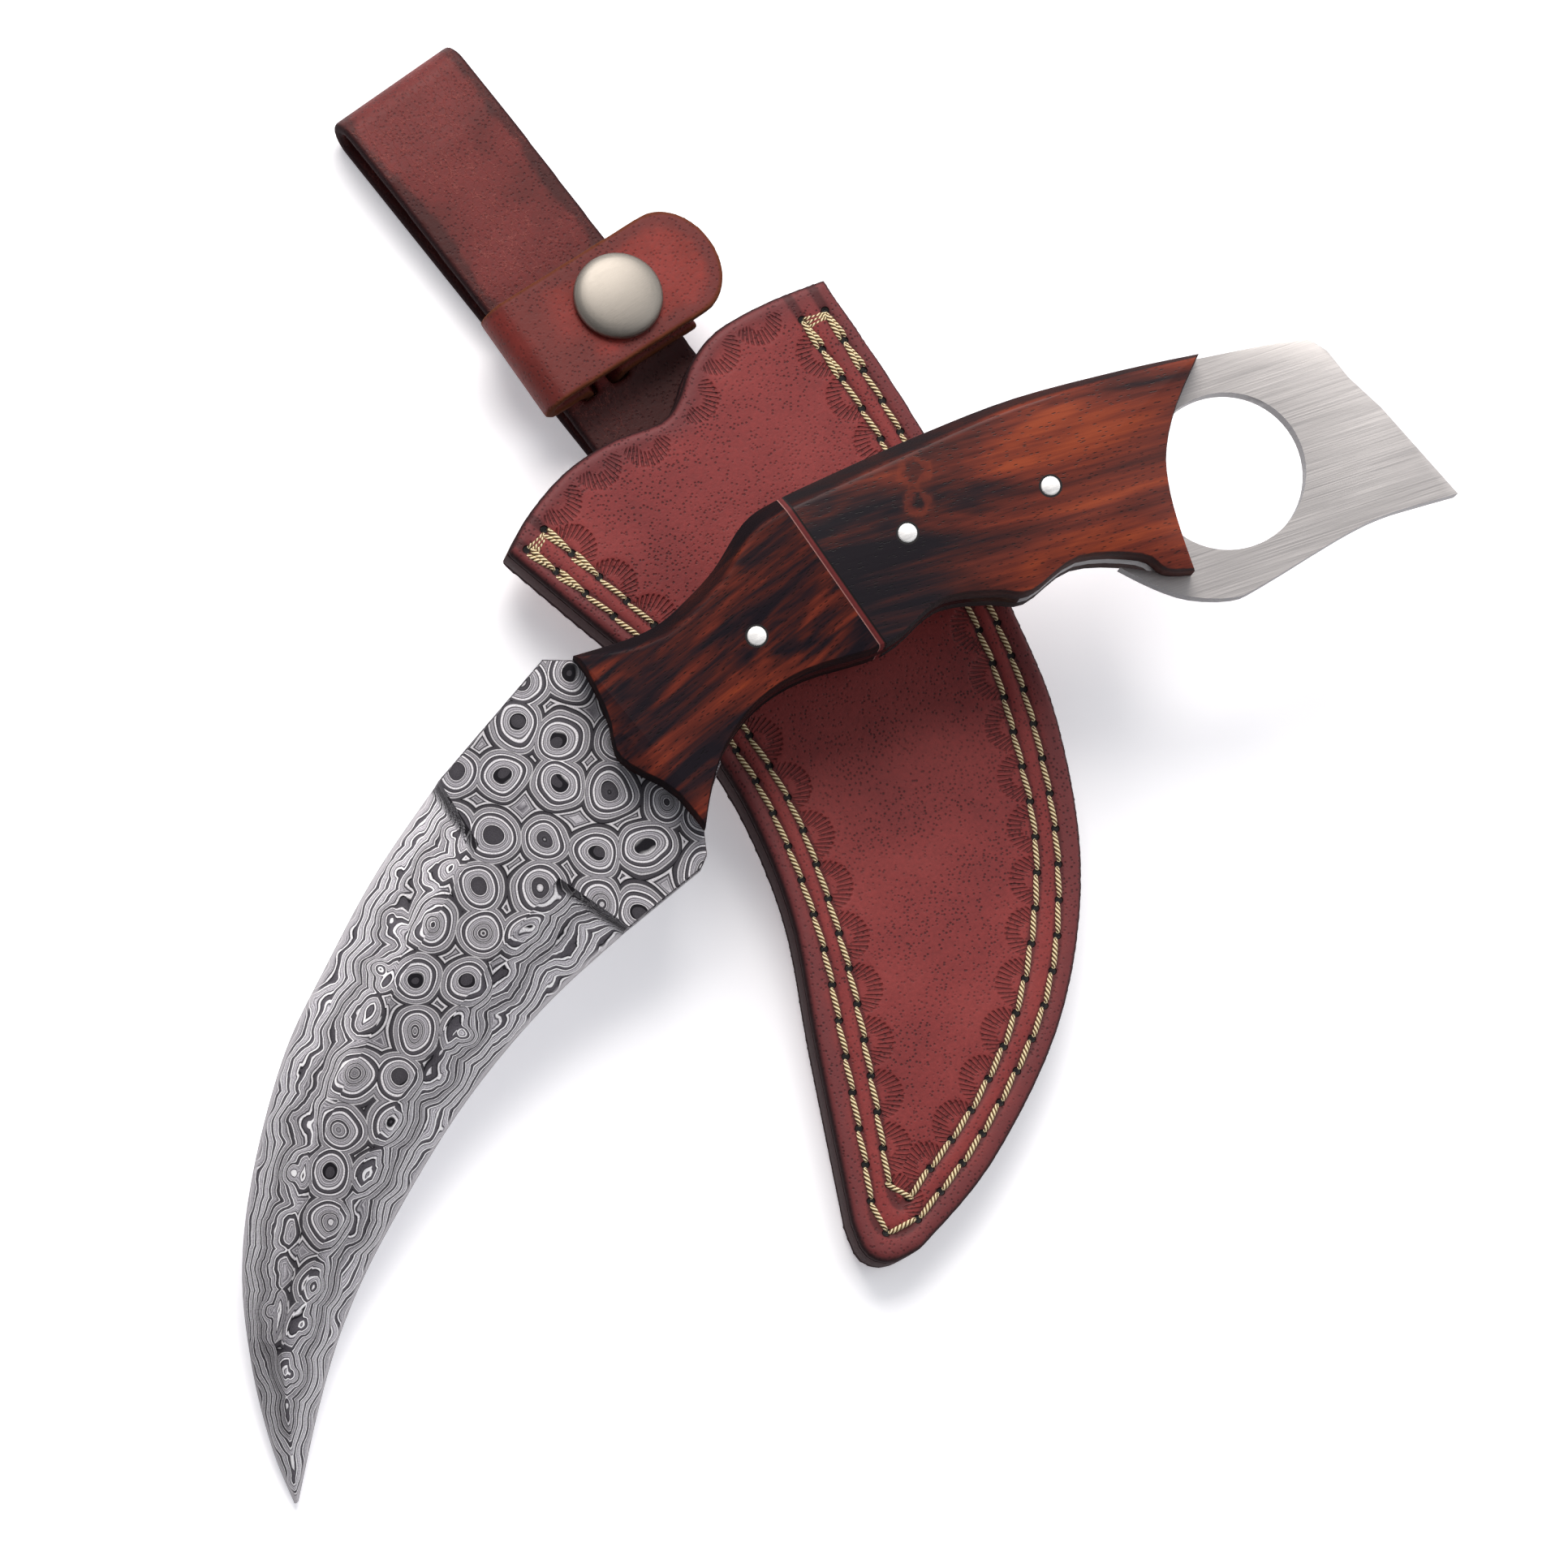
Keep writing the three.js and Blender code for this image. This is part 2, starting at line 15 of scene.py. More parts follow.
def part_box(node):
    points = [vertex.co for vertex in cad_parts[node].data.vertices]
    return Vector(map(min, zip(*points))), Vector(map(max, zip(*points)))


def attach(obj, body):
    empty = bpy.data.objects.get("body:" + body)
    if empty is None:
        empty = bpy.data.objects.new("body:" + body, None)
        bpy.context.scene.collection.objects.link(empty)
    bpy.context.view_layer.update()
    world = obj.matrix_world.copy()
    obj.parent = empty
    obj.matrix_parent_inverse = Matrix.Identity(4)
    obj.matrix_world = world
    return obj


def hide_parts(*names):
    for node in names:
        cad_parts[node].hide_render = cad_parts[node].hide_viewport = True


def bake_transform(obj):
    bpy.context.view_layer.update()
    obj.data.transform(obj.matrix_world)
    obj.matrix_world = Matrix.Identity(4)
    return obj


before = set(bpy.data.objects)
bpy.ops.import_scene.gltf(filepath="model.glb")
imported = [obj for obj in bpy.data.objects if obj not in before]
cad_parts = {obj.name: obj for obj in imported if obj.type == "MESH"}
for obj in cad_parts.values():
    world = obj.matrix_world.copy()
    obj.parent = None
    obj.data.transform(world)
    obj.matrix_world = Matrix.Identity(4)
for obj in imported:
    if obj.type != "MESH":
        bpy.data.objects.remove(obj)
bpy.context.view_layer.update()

bl_info = {
    "name": "Ring-handled knife and belt sheath",
    "version": (1, 0, 0),
    "blender": (4, 5, 0),
    "location": "View3D > Sidebar > Knife",
    "description": "Builds a forged ring-handled knife and its stitched leather belt sheath",
    "category": "Object",
}

MM = 0.001
TWO_PI = 2 * math.pi

# ---------------------------------------------------------------- frames


def box_centre(node):
    """The middle of a CAD node's box."""
    low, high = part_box(node)
    return (low + high) / 2


def broad_face_normal(node):
    """The upward direction square to a CAD node's largest flat face."""
    face = max(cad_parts[node].data.polygons, key=lambda polygon: polygon.area)
    return face.normal.copy() if face.normal.z > 0 else -face.normal


def axes_matrix(x, y, z, origin):
    """The matrix from a frame with these axes and origin to the part's frame."""
    return Matrix.Translation(origin) @ Matrix((x, y, z)).transposed().to_4x4()


# Knife: X runs from the middle pin to the rear pin, and Z is square to the tang's flats.
PIN_MIDDLE = box_centre("pin_middle")
KNIFE_Z = broad_face_normal("tang_with_ring")
KNIFE_X = (box_centre("pin_rear") - PIN_MIDDLE).normalized()
KNIFE = axes_matrix(KNIFE_X, KNIFE_Z.cross(KNIFE_X), KNIFE_Z, PIN_MIDDLE)

# Sheath: Y runs along the belt loop, and Z is square to the panels, up from the back one's face.
LOOP_LOW, LOOP_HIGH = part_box("belt_loop")
SHEATH_ORIGIN = Vector((LOOP_LOW.x + 3.4 * MM, LOOP_HIGH.y - 73 * MM, 0))
SHEATH_Z = broad_face_normal("sheath_back_panel")
SHEATH = (Matrix.Translation(SHEATH_ORIGIN + Vector((0, 0, 6.8 * MM)))
          @ Matrix.Rotation(math.atan2(-SHEATH_Z.y, SHEATH_Z.z), 4, "X"))

# Strap: X runs along the strap from the middle of its base, and Z is measured from the floor.
STRAP_TURN = math.radians(-3.5)
STRAP = (Matrix.Translation(SHEATH_ORIGIN + Vector((8 * MM, 19 * MM, 0)))
         @ Matrix.Rotation(STRAP_TURN, 4, "Z"))
SNAP_PLACE = 5.2                    # the snap's axis, along the strap

# ---------------------------------------------------------------- sizes, mm

TANG_HALF = 2.2                     # half the thickness of the steel
SCALE_TOP = 9.3                     # top of a wooden scale, from the knife's middle plane
EDGE_HALF = 0.2                     # half the thickness of the unsharpened edges
PANEL = 2.5                         # one leather panel
SHEATH_TOP = 9.6                    # face of the front panel, from the back one's face
WELT_FILL = 4.58 / 4                # the welt swells to meet both panels
STRAP_HALF = 9.75                   # half the strap's width
STRAP_ROUND = 16.5, 7.7             # where the flap's rounded end starts, and its length
PIN_PLACES = {"pin_front": (-28.5, -8.2), "pin_middle": (0, 0), "pin_rear": (24.5, 0)}
SPACER_LINE = ((-17.3, 11.2), (-9.5, -16.2))    # middle of the fibre spacer
CRISP_EDGE = 0.3                    # wear on the edges of the scales that have no facet
GLUE_LINE = 0.26                    # width of the glue round a pin
KNOT_PLACES = (4.2, 9.2), (3.2, 4.2)    # middles of the knots in the rear scale

OUTER_SHOULDER, INNER_SHOULDER = (-84.1, -13.5), (-62.4, -45.7)
OUTER_EDGE = [
    OUTER_SHOULDER, (-98.1, -24.2), (-110.4, -35.8), (-121.5, -47.5), (-132.1, -63.8),
    (-138.7, -78.3), (-141.9, -92.9), (-142.9, -106), (-142.3, -115.7)]
INNER_EDGE = [
    INNER_SHOULDER, (-79.9, -53.6), (-97.7, -64.9), (-115.3, -80), (-125.7, -91),
    (-133.5, -102), (-141.6, -115.6)]
OUTER_FLAT = [(-81.2, -25.3), (-98.9, -41.3), (-117, -59), (-126.8, -74), (-136.4, -91.6)]
INNER_FLAT = [(-70.7, -34.5), (-87.8, -45.6), (-110.4, -63.6), (-128.8, -82), (-136.4, -91.6)]
DIMPLE_SPACING = 8.4                # between the ring patterns in the blade
BLADE_POINT = (-142, -115.8)
FLAT_SHARE = 0.78                   # part of the ground length that has a flat
PLUNGE = 0.019                      # part of the ground length over which the grinds run out
RICASSO_OUTER = [
    (-40, -0.2), (-42.5, -1.1), (-48.2, -1.9), (-57.4, -1.7), (-62, -0.1), OUTER_SHOULDER]
RICASSO_INNER = [
    (-40, -25.2), (-43, -29), (-46.1, -34.8), (-46.9, -38.6), (-48.5, -40.4), INNER_SHOULDER]

THROAT = [
    (-28.5, -4.5), (-22, -1.5), (-12.5, 0.7), (-3, 0.4), (6, -1.9), (11, -0.3), (16, 3), (23, 5),
    (33, 4), (43.5, 1.4)]
STITCH_ROWS = {
    "outer": [
        (-25.8, -6), (-21.7, -20.7), (-18.6, -36), (-18.4, -50), (-20.3, -65.4), (-26.3, -84.9),
        (-35.1, -102.6), (-44.4, -120), (-48.6, -128), (-46.6, -131.4), (-40.7, -131.2),
        (-23.2, -126.3), (-2.2, -115.7), (13.4, -99.3), (24, -80.1), (30.3, -62), (37.2, -29),
        (40.2, -3)],
    "inner": [
        (-21.4, -5), (-18.1, -20.9), (-15.4, -36), (-15.3, -52), (-17.7, -69.2), (-25.6, -91.4),
        (-35.6, -111.1), (-43.9, -126.8), (-38.1, -126.9), (-21.4, -121.8), (-4.9, -112.5),
        (10.8, -96.8), (20.4, -79.1), (27.1, -60.9), (33.7, -28.2), (36, -2)]}
STITCH_PITCH = 6
AWL_HOLE = 0.62, 0.66               # half its length along the row, and half its width
STAMP_RADIUS = 4.2
STAMP_POINT = 4.4                   # from a stamp's middle back to where its lines would meet
LOOP_ROW = [(1, -3), (1, -22), (3.5, -26), (13.8, -26), (16.6, -22), (16.6, -3)]

# ---------------------------------------------------------------- curves and outlines


def spline(points, steps=14):
    """A smooth line through points, drawn as the CAD outlines are."""
    p = np.array(points, float)
    p = np.vstack([p[:1], p, p[-1:]])
    t = np.linspace(0, 1, steps, endpoint=False)[:, None]
    spans = []
    for a, b, c, d in zip(p, p[1:], p[2:], p[3:]):
        start, end = (c - a) / 2, (d - b) / 2
        spans.append((2 * b - 2 * c + start + end) * t ** 3
                     + (3 * c - 3 * b - 2 * start - end) * t ** 2 + start * t + b)
    return np.vstack([*spans, p[-1:]])


def reach(line):
    """The distance walked along a line at each of its points."""
    steps = np.linalg.norm(np.diff(line, axis=0), axis=1)
    return np.concatenate([[0], np.cumsum(steps)])


def walk(line, distances):
    """The points at these distances along a line."""
    along = reach(line)
    return np.column_stack([np.interp(distances, along, column) for column in line.T])


def directions(line):
    """The unit direction of a line at each of its points."""
    change = np.gradient(line, axis=0)
    return change / np.linalg.norm(change, axis=1)[:, None]


def close_samples(outline, spacing=0.25):
    """A closed outline's points again, at even small distances."""
    closed = np.vstack([outline, outline[:1]])
    total = reach(closed)[-1]
    return walk(closed, np.linspace(0, total, int(total / spacing), endpoint=False))


def cap_outline(node, matrix):
    """The outer outline of a CAD node's top face, anticlockwise, in a local frame's millimetres."""
    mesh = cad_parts[node].data
    to_local = matrix.inverted()
    local = [to_local @ vertex.co / MM for vertex in mesh.vertices]
    flat = [face for face in mesh.polygons
            if (to_local.to_3x3() @ face.normal).z > 0.999]
    top = max(local[face.vertices[0]].z for face in flat)
    following = {}
    for face in flat:
        if local[face.vertices[0]].z < top - 0.05:
            continue
        corners = [tuple(round(c, 3) for c in local[index].xy) for index in face.vertices]
        for a, b in zip(corners, corners[1:] + corners[:1]):
            if following.get(b) and a in following[b]:
                following[b].remove(a)
            else:
                following.setdefault(a, []).append(b)
    loops = []
    while any(following.values()):
        here = next(point for point, after in following.items() if after)
        loop = []
        while following.get(here):
            loop.append(here)
            here = following[here].pop()
        loops.append(np.array(loop))
    return max(loops, key=lambda loop: reach(loop)[-1])


def inset(outline, widths):
    """An anticlockwise outline with each side moved inwards by its own width."""
    side = np.roll(outline, -1, axis=0) - outline
    side /= np.linalg.norm(side, axis=1)[:, None]
    normal = np.column_stack([-side[:, 1], side[:, 0]])
    before, width_before = np.roll(normal, 1, axis=0), np.roll(widths, 1)
    turn = before[:, 0] * normal[:, 1] - before[:, 1] * normal[:, 0]
    bent = np.abs(turn) > 0.05
    safe = np.where(bent, turn, 1)
    corner = np.column_stack([
        (width_before * normal[:, 1] - widths * before[:, 1]) / safe,
        (before[:, 0] * widths - normal[:, 0] * width_before) / safe])
    middle = before + normal
    middle *= ((widths + width_before) / 2 / np.linalg.norm(middle, axis=1))[:, None]
    return outline + np.where(bent[:, None], corner, middle)


def ring_of(points, height):
    """A flat ring of points at one height."""
    points = np.asarray(points, float)
    return np.column_stack([points, np.full(len(points), height)])


def circle(radius, height, sides=64):
    """A ring of points round the Z axis."""
    angle = np.linspace(0, TWO_PI, sides, endpoint=False)
    return ring_of(radius * np.column_stack([np.cos(angle), np.sin(angle)]), height)


# ---------------------------------------------------------------- meshes


def activate(*pieces):
    """Selects these objects alone."""
    bpy.ops.object.select_all(action="DESELECT")
    for one in pieces:
        one.select_set(True)
    bpy.context.view_layer.objects.active = pieces[0]


def points_of(piece):
    """A mesh's vertices as an array."""
    found = np.empty(len(piece.data.vertices) * 3)
    piece.data.vertices.foreach_get("co", found)
    return found.reshape(-1, 3)


def set_points(piece, points):
    """Moves a mesh's vertices."""
    piece.data.vertices.foreach_set("co", np.asarray(points, float).ravel())
    piece.data.update()


def skin(name, rings):
    """A closed shape through rings of matching points, with a face over each end ring."""
    rings = np.array(rings, float)
    rows, columns = rings.shape[:2]
    piece = added(bpy.ops.mesh.primitive_grid_add, x_subdivisions=columns,
                  y_subdivisions=rows - 1, size=1)
    piece.name = piece.data.name = name
    grid = points_of(piece)
    column = np.rint((grid[:, 0] + 0.5) * columns).astype(int) % columns
    row = np.rint((grid[:, 1] + 0.5) * (rows - 1)).astype(int)
    set_points(piece, rings[row, column])
    bpy.ops.object.mode_set(mode="EDIT")
    bpy.ops.mesh.select_all(action="SELECT")
    bpy.ops.mesh.remove_doubles(threshold=1e-5)
    bpy.ops.mesh.fill_holes(sides=0)
    bpy.ops.mesh.select_all(action="SELECT")
    bpy.ops.mesh.normals_make_consistent(inside=False)
    bpy.ops.object.mode_set(mode="OBJECT")
    return piece


def cad_copy(name, node):
    """A welded copy of a CAD node's mesh, to shape further."""
    copy = bpy.data.objects.new(name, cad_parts[node].data.copy())
    bpy.context.scene.collection.objects.link(copy)
    copy.data.materials.clear()
    activate(copy)
    bpy.ops.mesh.customdata_custom_splitnormals_clear()
    bpy.ops.object.mode_set(mode="EDIT")
    bpy.ops.mesh.select_all(action="SELECT")
    bpy.ops.mesh.remove_doubles(threshold=1e-6)
    bpy.ops.object.mode_set(mode="OBJECT")
    return copy


def voxels(fine):
    return fine


def modify(piece, kind, **settings):
    """Adds a modifier and applies it."""
    activate(piece)
    modifier = piece.modifiers.new(kind.lower(), kind)
    for key, value in settings.items():
        setattr(modifier, key, value)
    bpy.ops.object.modifier_apply(modifier=modifier.name)


def place(piece, matrix):
    """Puts a mesh drawn in a local frame's millimetres where it belongs, in metres."""
    piece.data.transform(matrix @ Matrix.Scale(MM, 4))
    piece.data.update()


def shade(piece, degrees):
    """Smooth shading that keeps creases sharper than an angle."""
    activate(piece)
    bpy.ops.object.shade_smooth_by_angle(angle=math.radians(degrees))


def added(primitive, **settings):
    """A new primitive, alone in the selection."""
    bpy.ops.object.select_all(action="DESELECT")
    primitive(**settings)
    return bpy.context.object


def store(piece, name, values):
    """Keeps one number for each vertex, for a material to read."""
    attribute = piece.data.attributes.new(name, "FLOAT", "POINT")
    attribute.data.foreach_set("value", np.asarray(values, np.float32))


def face_corners(piece):
    """Each face corner's point and the number of its face, and the middle of each face."""
    mesh = piece.data
    corner_vertex = np.empty(len(mesh.loops), int)
    mesh.loops.foreach_get("vertex_index", corner_vertex)
    counts = np.empty(len(mesh.polygons), int)
    mesh.polygons.foreach_get("loop_total", counts)
    middles = np.empty(len(mesh.polygons) * 3)
    mesh.polygons.foreach_get("center", middles)
    face = np.repeat(np.arange(len(counts)), counts)
    return points_of(piece)[corner_vertex], face, middles.reshape(-1, 3)


def set_uv(piece, name, values):
    """Gives a mesh a UV map with these values at its face corners."""
    layer = piece.data.uv_layers.new(name=name)
    layer.data.foreach_set("uv", np.asarray(values, np.float32).ravel())


def nearest(places, points):
    """For each point, the number of the nearest place and how far away it is, in plan."""
    tree = kdtree.KDTree(len(places))
    for number, (x, y) in enumerate(places):
        tree.insert((x, y, 0), number)
    tree.balance()
    found = [tree.find((x, y, 0)) for x, y in points[:, :2]]
    return np.array([hit[1] for hit in found]), np.array([hit[2] for hit in found])


def join(name, pieces):
    """One mesh from several."""
    activate(*pieces)
    bpy.ops.object.join()
    whole = bpy.context.object
    whole.name = whole.data.name = name
    return whole


def finish(piece, material, body, *nodes, slot=None):
    """Gives a piece its material, its body and the CAD nodes it stands for. The slot argument is
    not used.
    """
    if not piece.data.materials:
        piece.data.materials.append(material)
    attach(piece, body)
    if nodes:
        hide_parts(*nodes)
    return piece


# ---------------------------------------------------------------- materials


def linear(colour):
    """An sRGB hex colour as linear red, green, blue and alpha."""
    parts = [int(colour[i:i + 2], 16) / 255 for i in (1, 3, 5)]
    return (*(c / 12.92 if c <= 0.04045 else ((c + 0.055) / 1.055) ** 2.4 for c in parts), 1)


def add_node(tree, kind, inputs=None, stops=None, **settings):
    """Adds a node. An input is named or numbered, and takes a value, a socket or another node."""
    node = tree.nodes.new("ShaderNode" + kind)
    for key, value in settings.items():
        setattr(node, key, value)
    for key, value in (inputs or {}).items():
        open_inputs = [socket for socket in node.inputs if socket.enabled]
        socket = (open_inputs[key] if isinstance(key, int)
                  else next(s for s in open_inputs if s.name == key))
        if isinstance(value, bpy.types.Node):
            value = next(output for output in value.outputs if output.enabled)
        if isinstance(value, bpy.types.NodeSocket):
            tree.links.new(value, socket)
        else:
            socket.default_value = value
    for number, (position, colour) in enumerate(stops or ()):
        stop = (node.color_ramp.elements[number] if number < 2
                else node.color_ramp.elements.new(position))
        stop.position, stop.color = position, linear(colour)
    return node


def new_material(name):
    """A material with an empty node tree, and the call that adds nodes to it."""
    material = bpy.data.materials.new(name)
    material.use_nodes = True
    material.node_tree.nodes.clear()
    return material, partial(add_node, material.node_tree)


def close_material(add, **shader):
    """Ends a material with its shader."""
    inputs = {key.replace("_", " "): value for key, value in shader.items()}
    add("OutputMaterial", {"Surface": add("BsdfPrincipled", inputs)})


def local_mm(add, matrix):
    """Coordinates in a local frame's millimetres."""
    return add("Mapping", {
        "Vector": add("TexCoord").outputs["Object"], "Location": matrix.to_translation(),
        "Rotation": matrix.to_euler(), "Scale": (MM, MM, MM)}, vector_type="TEXTURE")


def on_walls(add, share):
    """A mix factor that is nothing on the knife's broad faces and a given share on its walls."""
    upright = add("VectorMath", {0: add("TexCoord").outputs["Normal"], 1: KNIFE_Z},
                  operation="DOT_PRODUCT").outputs["Value"]
    return add("MapRange", {"Value": add("Math", {0: upright}, operation="ABSOLUTE"),
                            "From Min": 0.975, "From Max": 0.88, "To Max": share})


def damascus_steel(options):
    """Pattern-welded steel, ground and etched: bright and dark layers, cut by round dimples and by
    the grinds, show as rings on the flats and as wavy lines on the grinds."""
    material, add = new_material("etched_pattern_welded_steel")
    local = local_mm(add, KNIFE)
    height = add("SeparateXYZ", {0: local}).outputs["Z"]
    above = add("Math", {0: height}, operation="ABSOLUTE")
    plan = add("VectorMath", {0: local, 1: (1, 1, 0)}, operation="MULTIPLY")
    drift = add("TexNoise", {"Vector": plan, "Scale": 0.09, "Detail": 1.0}).outputs["Color"]
    drift = add("VectorMath", {0: drift, 1: (0.5, 0.5, 0.5)}, operation="SUBTRACT")
    drifted = add("VectorMath", {0: drift, 1: (4, 4, 0), 2: plan}, operation="MULTIPLY_ADD")
    grid = add("Mapping", {"Vector": drifted, "Rotation": (0, 0, math.radians(28))})
    dimples = add("TexVoronoi", {"Vector": grid, "Scale": 1 / DIMPLE_SPACING, "Randomness": 0.32},
                  voronoi_dimensions="2D")
    radius = add("Math", {0: dimples, 1: DIMPLE_SPACING}, operation="MULTIPLY")
    # Over 6 mm from a dimple's centre: a plateau, a step, a gentle slope, a second step, a ridge.
    outwards = add("Math", {0: radius, 1: 1 / 6}, operation="MULTIPLY")
    profile = add("ValToRGB", {0: outwards}, stops=[
        (0.0, "#ffffff"), (0.22, "#fbfbfb"), (0.29, "#eaeaea"), (0.5, "#d2d2d2"),
        (0.62, "#b8b8b8"), (0.7, "#9a9a9a"), (0.83, "#707070"), (1.0, "#000000")])
    which = add("SeparateXYZ", {0: dimples.outputs["Color"]}).outputs["X"]
    taller = add("MapRange", {"Value": which, "From Min": 0.42, "From Max": 1.0, "To Max": 0.5})
    nipple = add("MapRange", {"Value": radius, "From Min": 0.1, "From Max": 2.1, "To Min": 1.0,
                              "To Max": 0}, interpolation_type="SMOOTHSTEP")
    nipple = add("Math", {0: nipple, 1: taller}, operation="MULTIPLY")
    struck = add("Math", {0: profile, 1: 0.75, 2: nipple}, operation="MULTIPLY_ADD")
    # The dimples press the deep layers less than those near the flats.
    faded = add("MapRange", {"Value": above, "From Min": EDGE_HALF, "From Max": TANG_HALF,
                             "To Min": 0.3, "To Max": 1.0})
    dome = add("Math", {0: struck, 1: faded}, operation="MULTIPLY")
    ripple = add("TexNoise", {"Vector": plan, "Scale": 0.17, "Detail": 1.2, "Roughness": 0.45})
    deeper = add("MapRange", {"Value": above, "From Min": TANG_HALF - 0.35,
                              "From Max": TANG_HALF - 0.03, "To Min": 0.8, "To Max": 0.14})
    rippled = add("Math", {0: ripple, 1: deeper, 2: dome}, operation="MULTIPLY_ADD")
    depth = add("Math", {0: height, 1: rippled}, operation="ADD")
    layer = add("Math", {0: add("Math", {0: depth, 1: options.layer_depth / MM},
                                operation="DIVIDE")}, operation="FRACT")
    layers = add("ValToRGB", {0: layer}, stops=[
        (0.0, "#4c494e"), (0.19, "#58555a"), (0.22, "#1d1b20"), (0.25, "#dedbde"),
        (0.33, "#f0edef"), (0.37, "#29272b"), (0.41, "#8d8a90"), (0.45, "#c9c6ca"),
        (0.49, "#6f6c72"), (0.56, "#d5d2d6"), (0.6, "#67646a"), (0.68, "#bfbcc0"),
        (0.73, "#5f5c62"), (0.78, "#242226"), (0.82, "#e4e1e4"), (0.9, "#f4f1f3"),
        (0.95, "#232126")])
    pits = add("TexNoise", {"Vector": local, "Scale": 5.0, "Detail": 3.0})
    worn = add("ValToRGB", {0: pits}, stops=[(0.3, "#8e8a90"), (0.62, "#ffffff")])
    bands = add("TexNoise", {"Vector": add("CombineXYZ", {"X": depth}), "Scale": 1.3})
    dim = add("MapRange", {"Value": bands, "From Min": 0.38, "From Max": 0.58, "To Min": 0.6,
                           "To Max": 1.15})
    ground = add("MapRange", {"Value": above, "From Min": TANG_HALF - 0.4,
                              "From Max": TANG_HALF - 0.05, "To Min": 1.62, "To Max": 1.12})
    dim = add("Math", {0: dim, 1: ground}, operation="MULTIPLY")
    layers = add("VectorMath", {0: layers, "Scale": dim}, operation="SCALE")
    etched = add("Mix", {"Factor": 0.5, "A": layers, "B": worn}, data_type="RGBA",
                 blend_type="MULTIPLY")
    honed = add("MapRange", {"Value": above, "From Min": 0.34, "From Max": 0.27, "To Max": 0.8})
    colour = add("Mix", {"Factor": honed, "A": etched, "B": linear("#cfcbcf")}, data_type="RGBA")
    # Painted shade: the steep walls of the plunge cuts are darkened, as they turn away from the
    # light.
    colour = add("Mix", {"Factor": on_walls(add, 0.7), "A": colour, "B": linear("#2c292d")},
                 data_type="RGBA")
    rough = add("MapRange", {"Value": pits, "To Min": 0.4, "To Max": 0.54})
    relief = add("Math", {0: layer, 1: 0.02}, operation="MULTIPLY")
    bump = add("Bump", {"Height": relief, "Distance": MM, "Strength": 0.5})
    close_material(add, Base_Color=colour, Metallic=0.8, Roughness=rough, Normal=bump)
    return material


def satin_steel(name, matrix, colour, roughness, reach_mm=18, grain_mm=0.18, wall_shade=0):
    """Steel finished on a belt: fine lines in one direction draw the highlights out across it.
    They are drawn a few times wider than real grit leaves them, so that they show."""
    material, add = new_material(name)
    stretched = add("Mapping", {"Vector": local_mm(add, matrix),
                                "Scale": (1 / reach_mm, 1 / grain_mm, 1 / grain_mm)})
    lines = add("TexNoise", {"Vector": stretched, "Scale": 1.0, "Detail": 4.0, "Roughness": 0.6})
    tone = add("TexNoise", {"Vector": local_mm(add, matrix), "Scale": 0.08, "Detail": 2.0})
    shade_of = add("MapRange", {"Value": lines, "From Min": 0.3, "From Max": 0.7, "To Min": 0.88,
                                "To Max": 1.06})
    duller = (*(0.88 * part for part in linear(colour)[:3]), 1.0)
    tinted = add("Mix", {"Factor": tone, "A": linear(colour), "B": duller}, data_type="RGBA")
    brushed = add("VectorMath", {0: tinted, "Scale": shade_of}, operation="SCALE")
    # Painted shade: the walls, which turn away from the light, are darkened.
    if wall_shade:
        brushed = add("Mix", {"Factor": on_walls(add, wall_shade), "A": brushed,
                              "B": linear("#2f2c30")}, data_type="RGBA")
    rough = add("MapRange", {"Value": lines, "From Min": 0.3, "From Max": 0.7,
                             "To Min": roughness - 0.04, "To Max": roughness + 0.06})
    bump = add("Bump", {"Height": lines, "Distance": 0.012 * MM, "Strength": 0.6})
    close_material(add, Base_Color=brushed, Metallic=1.0, Roughness=rough, Normal=bump)
    return material


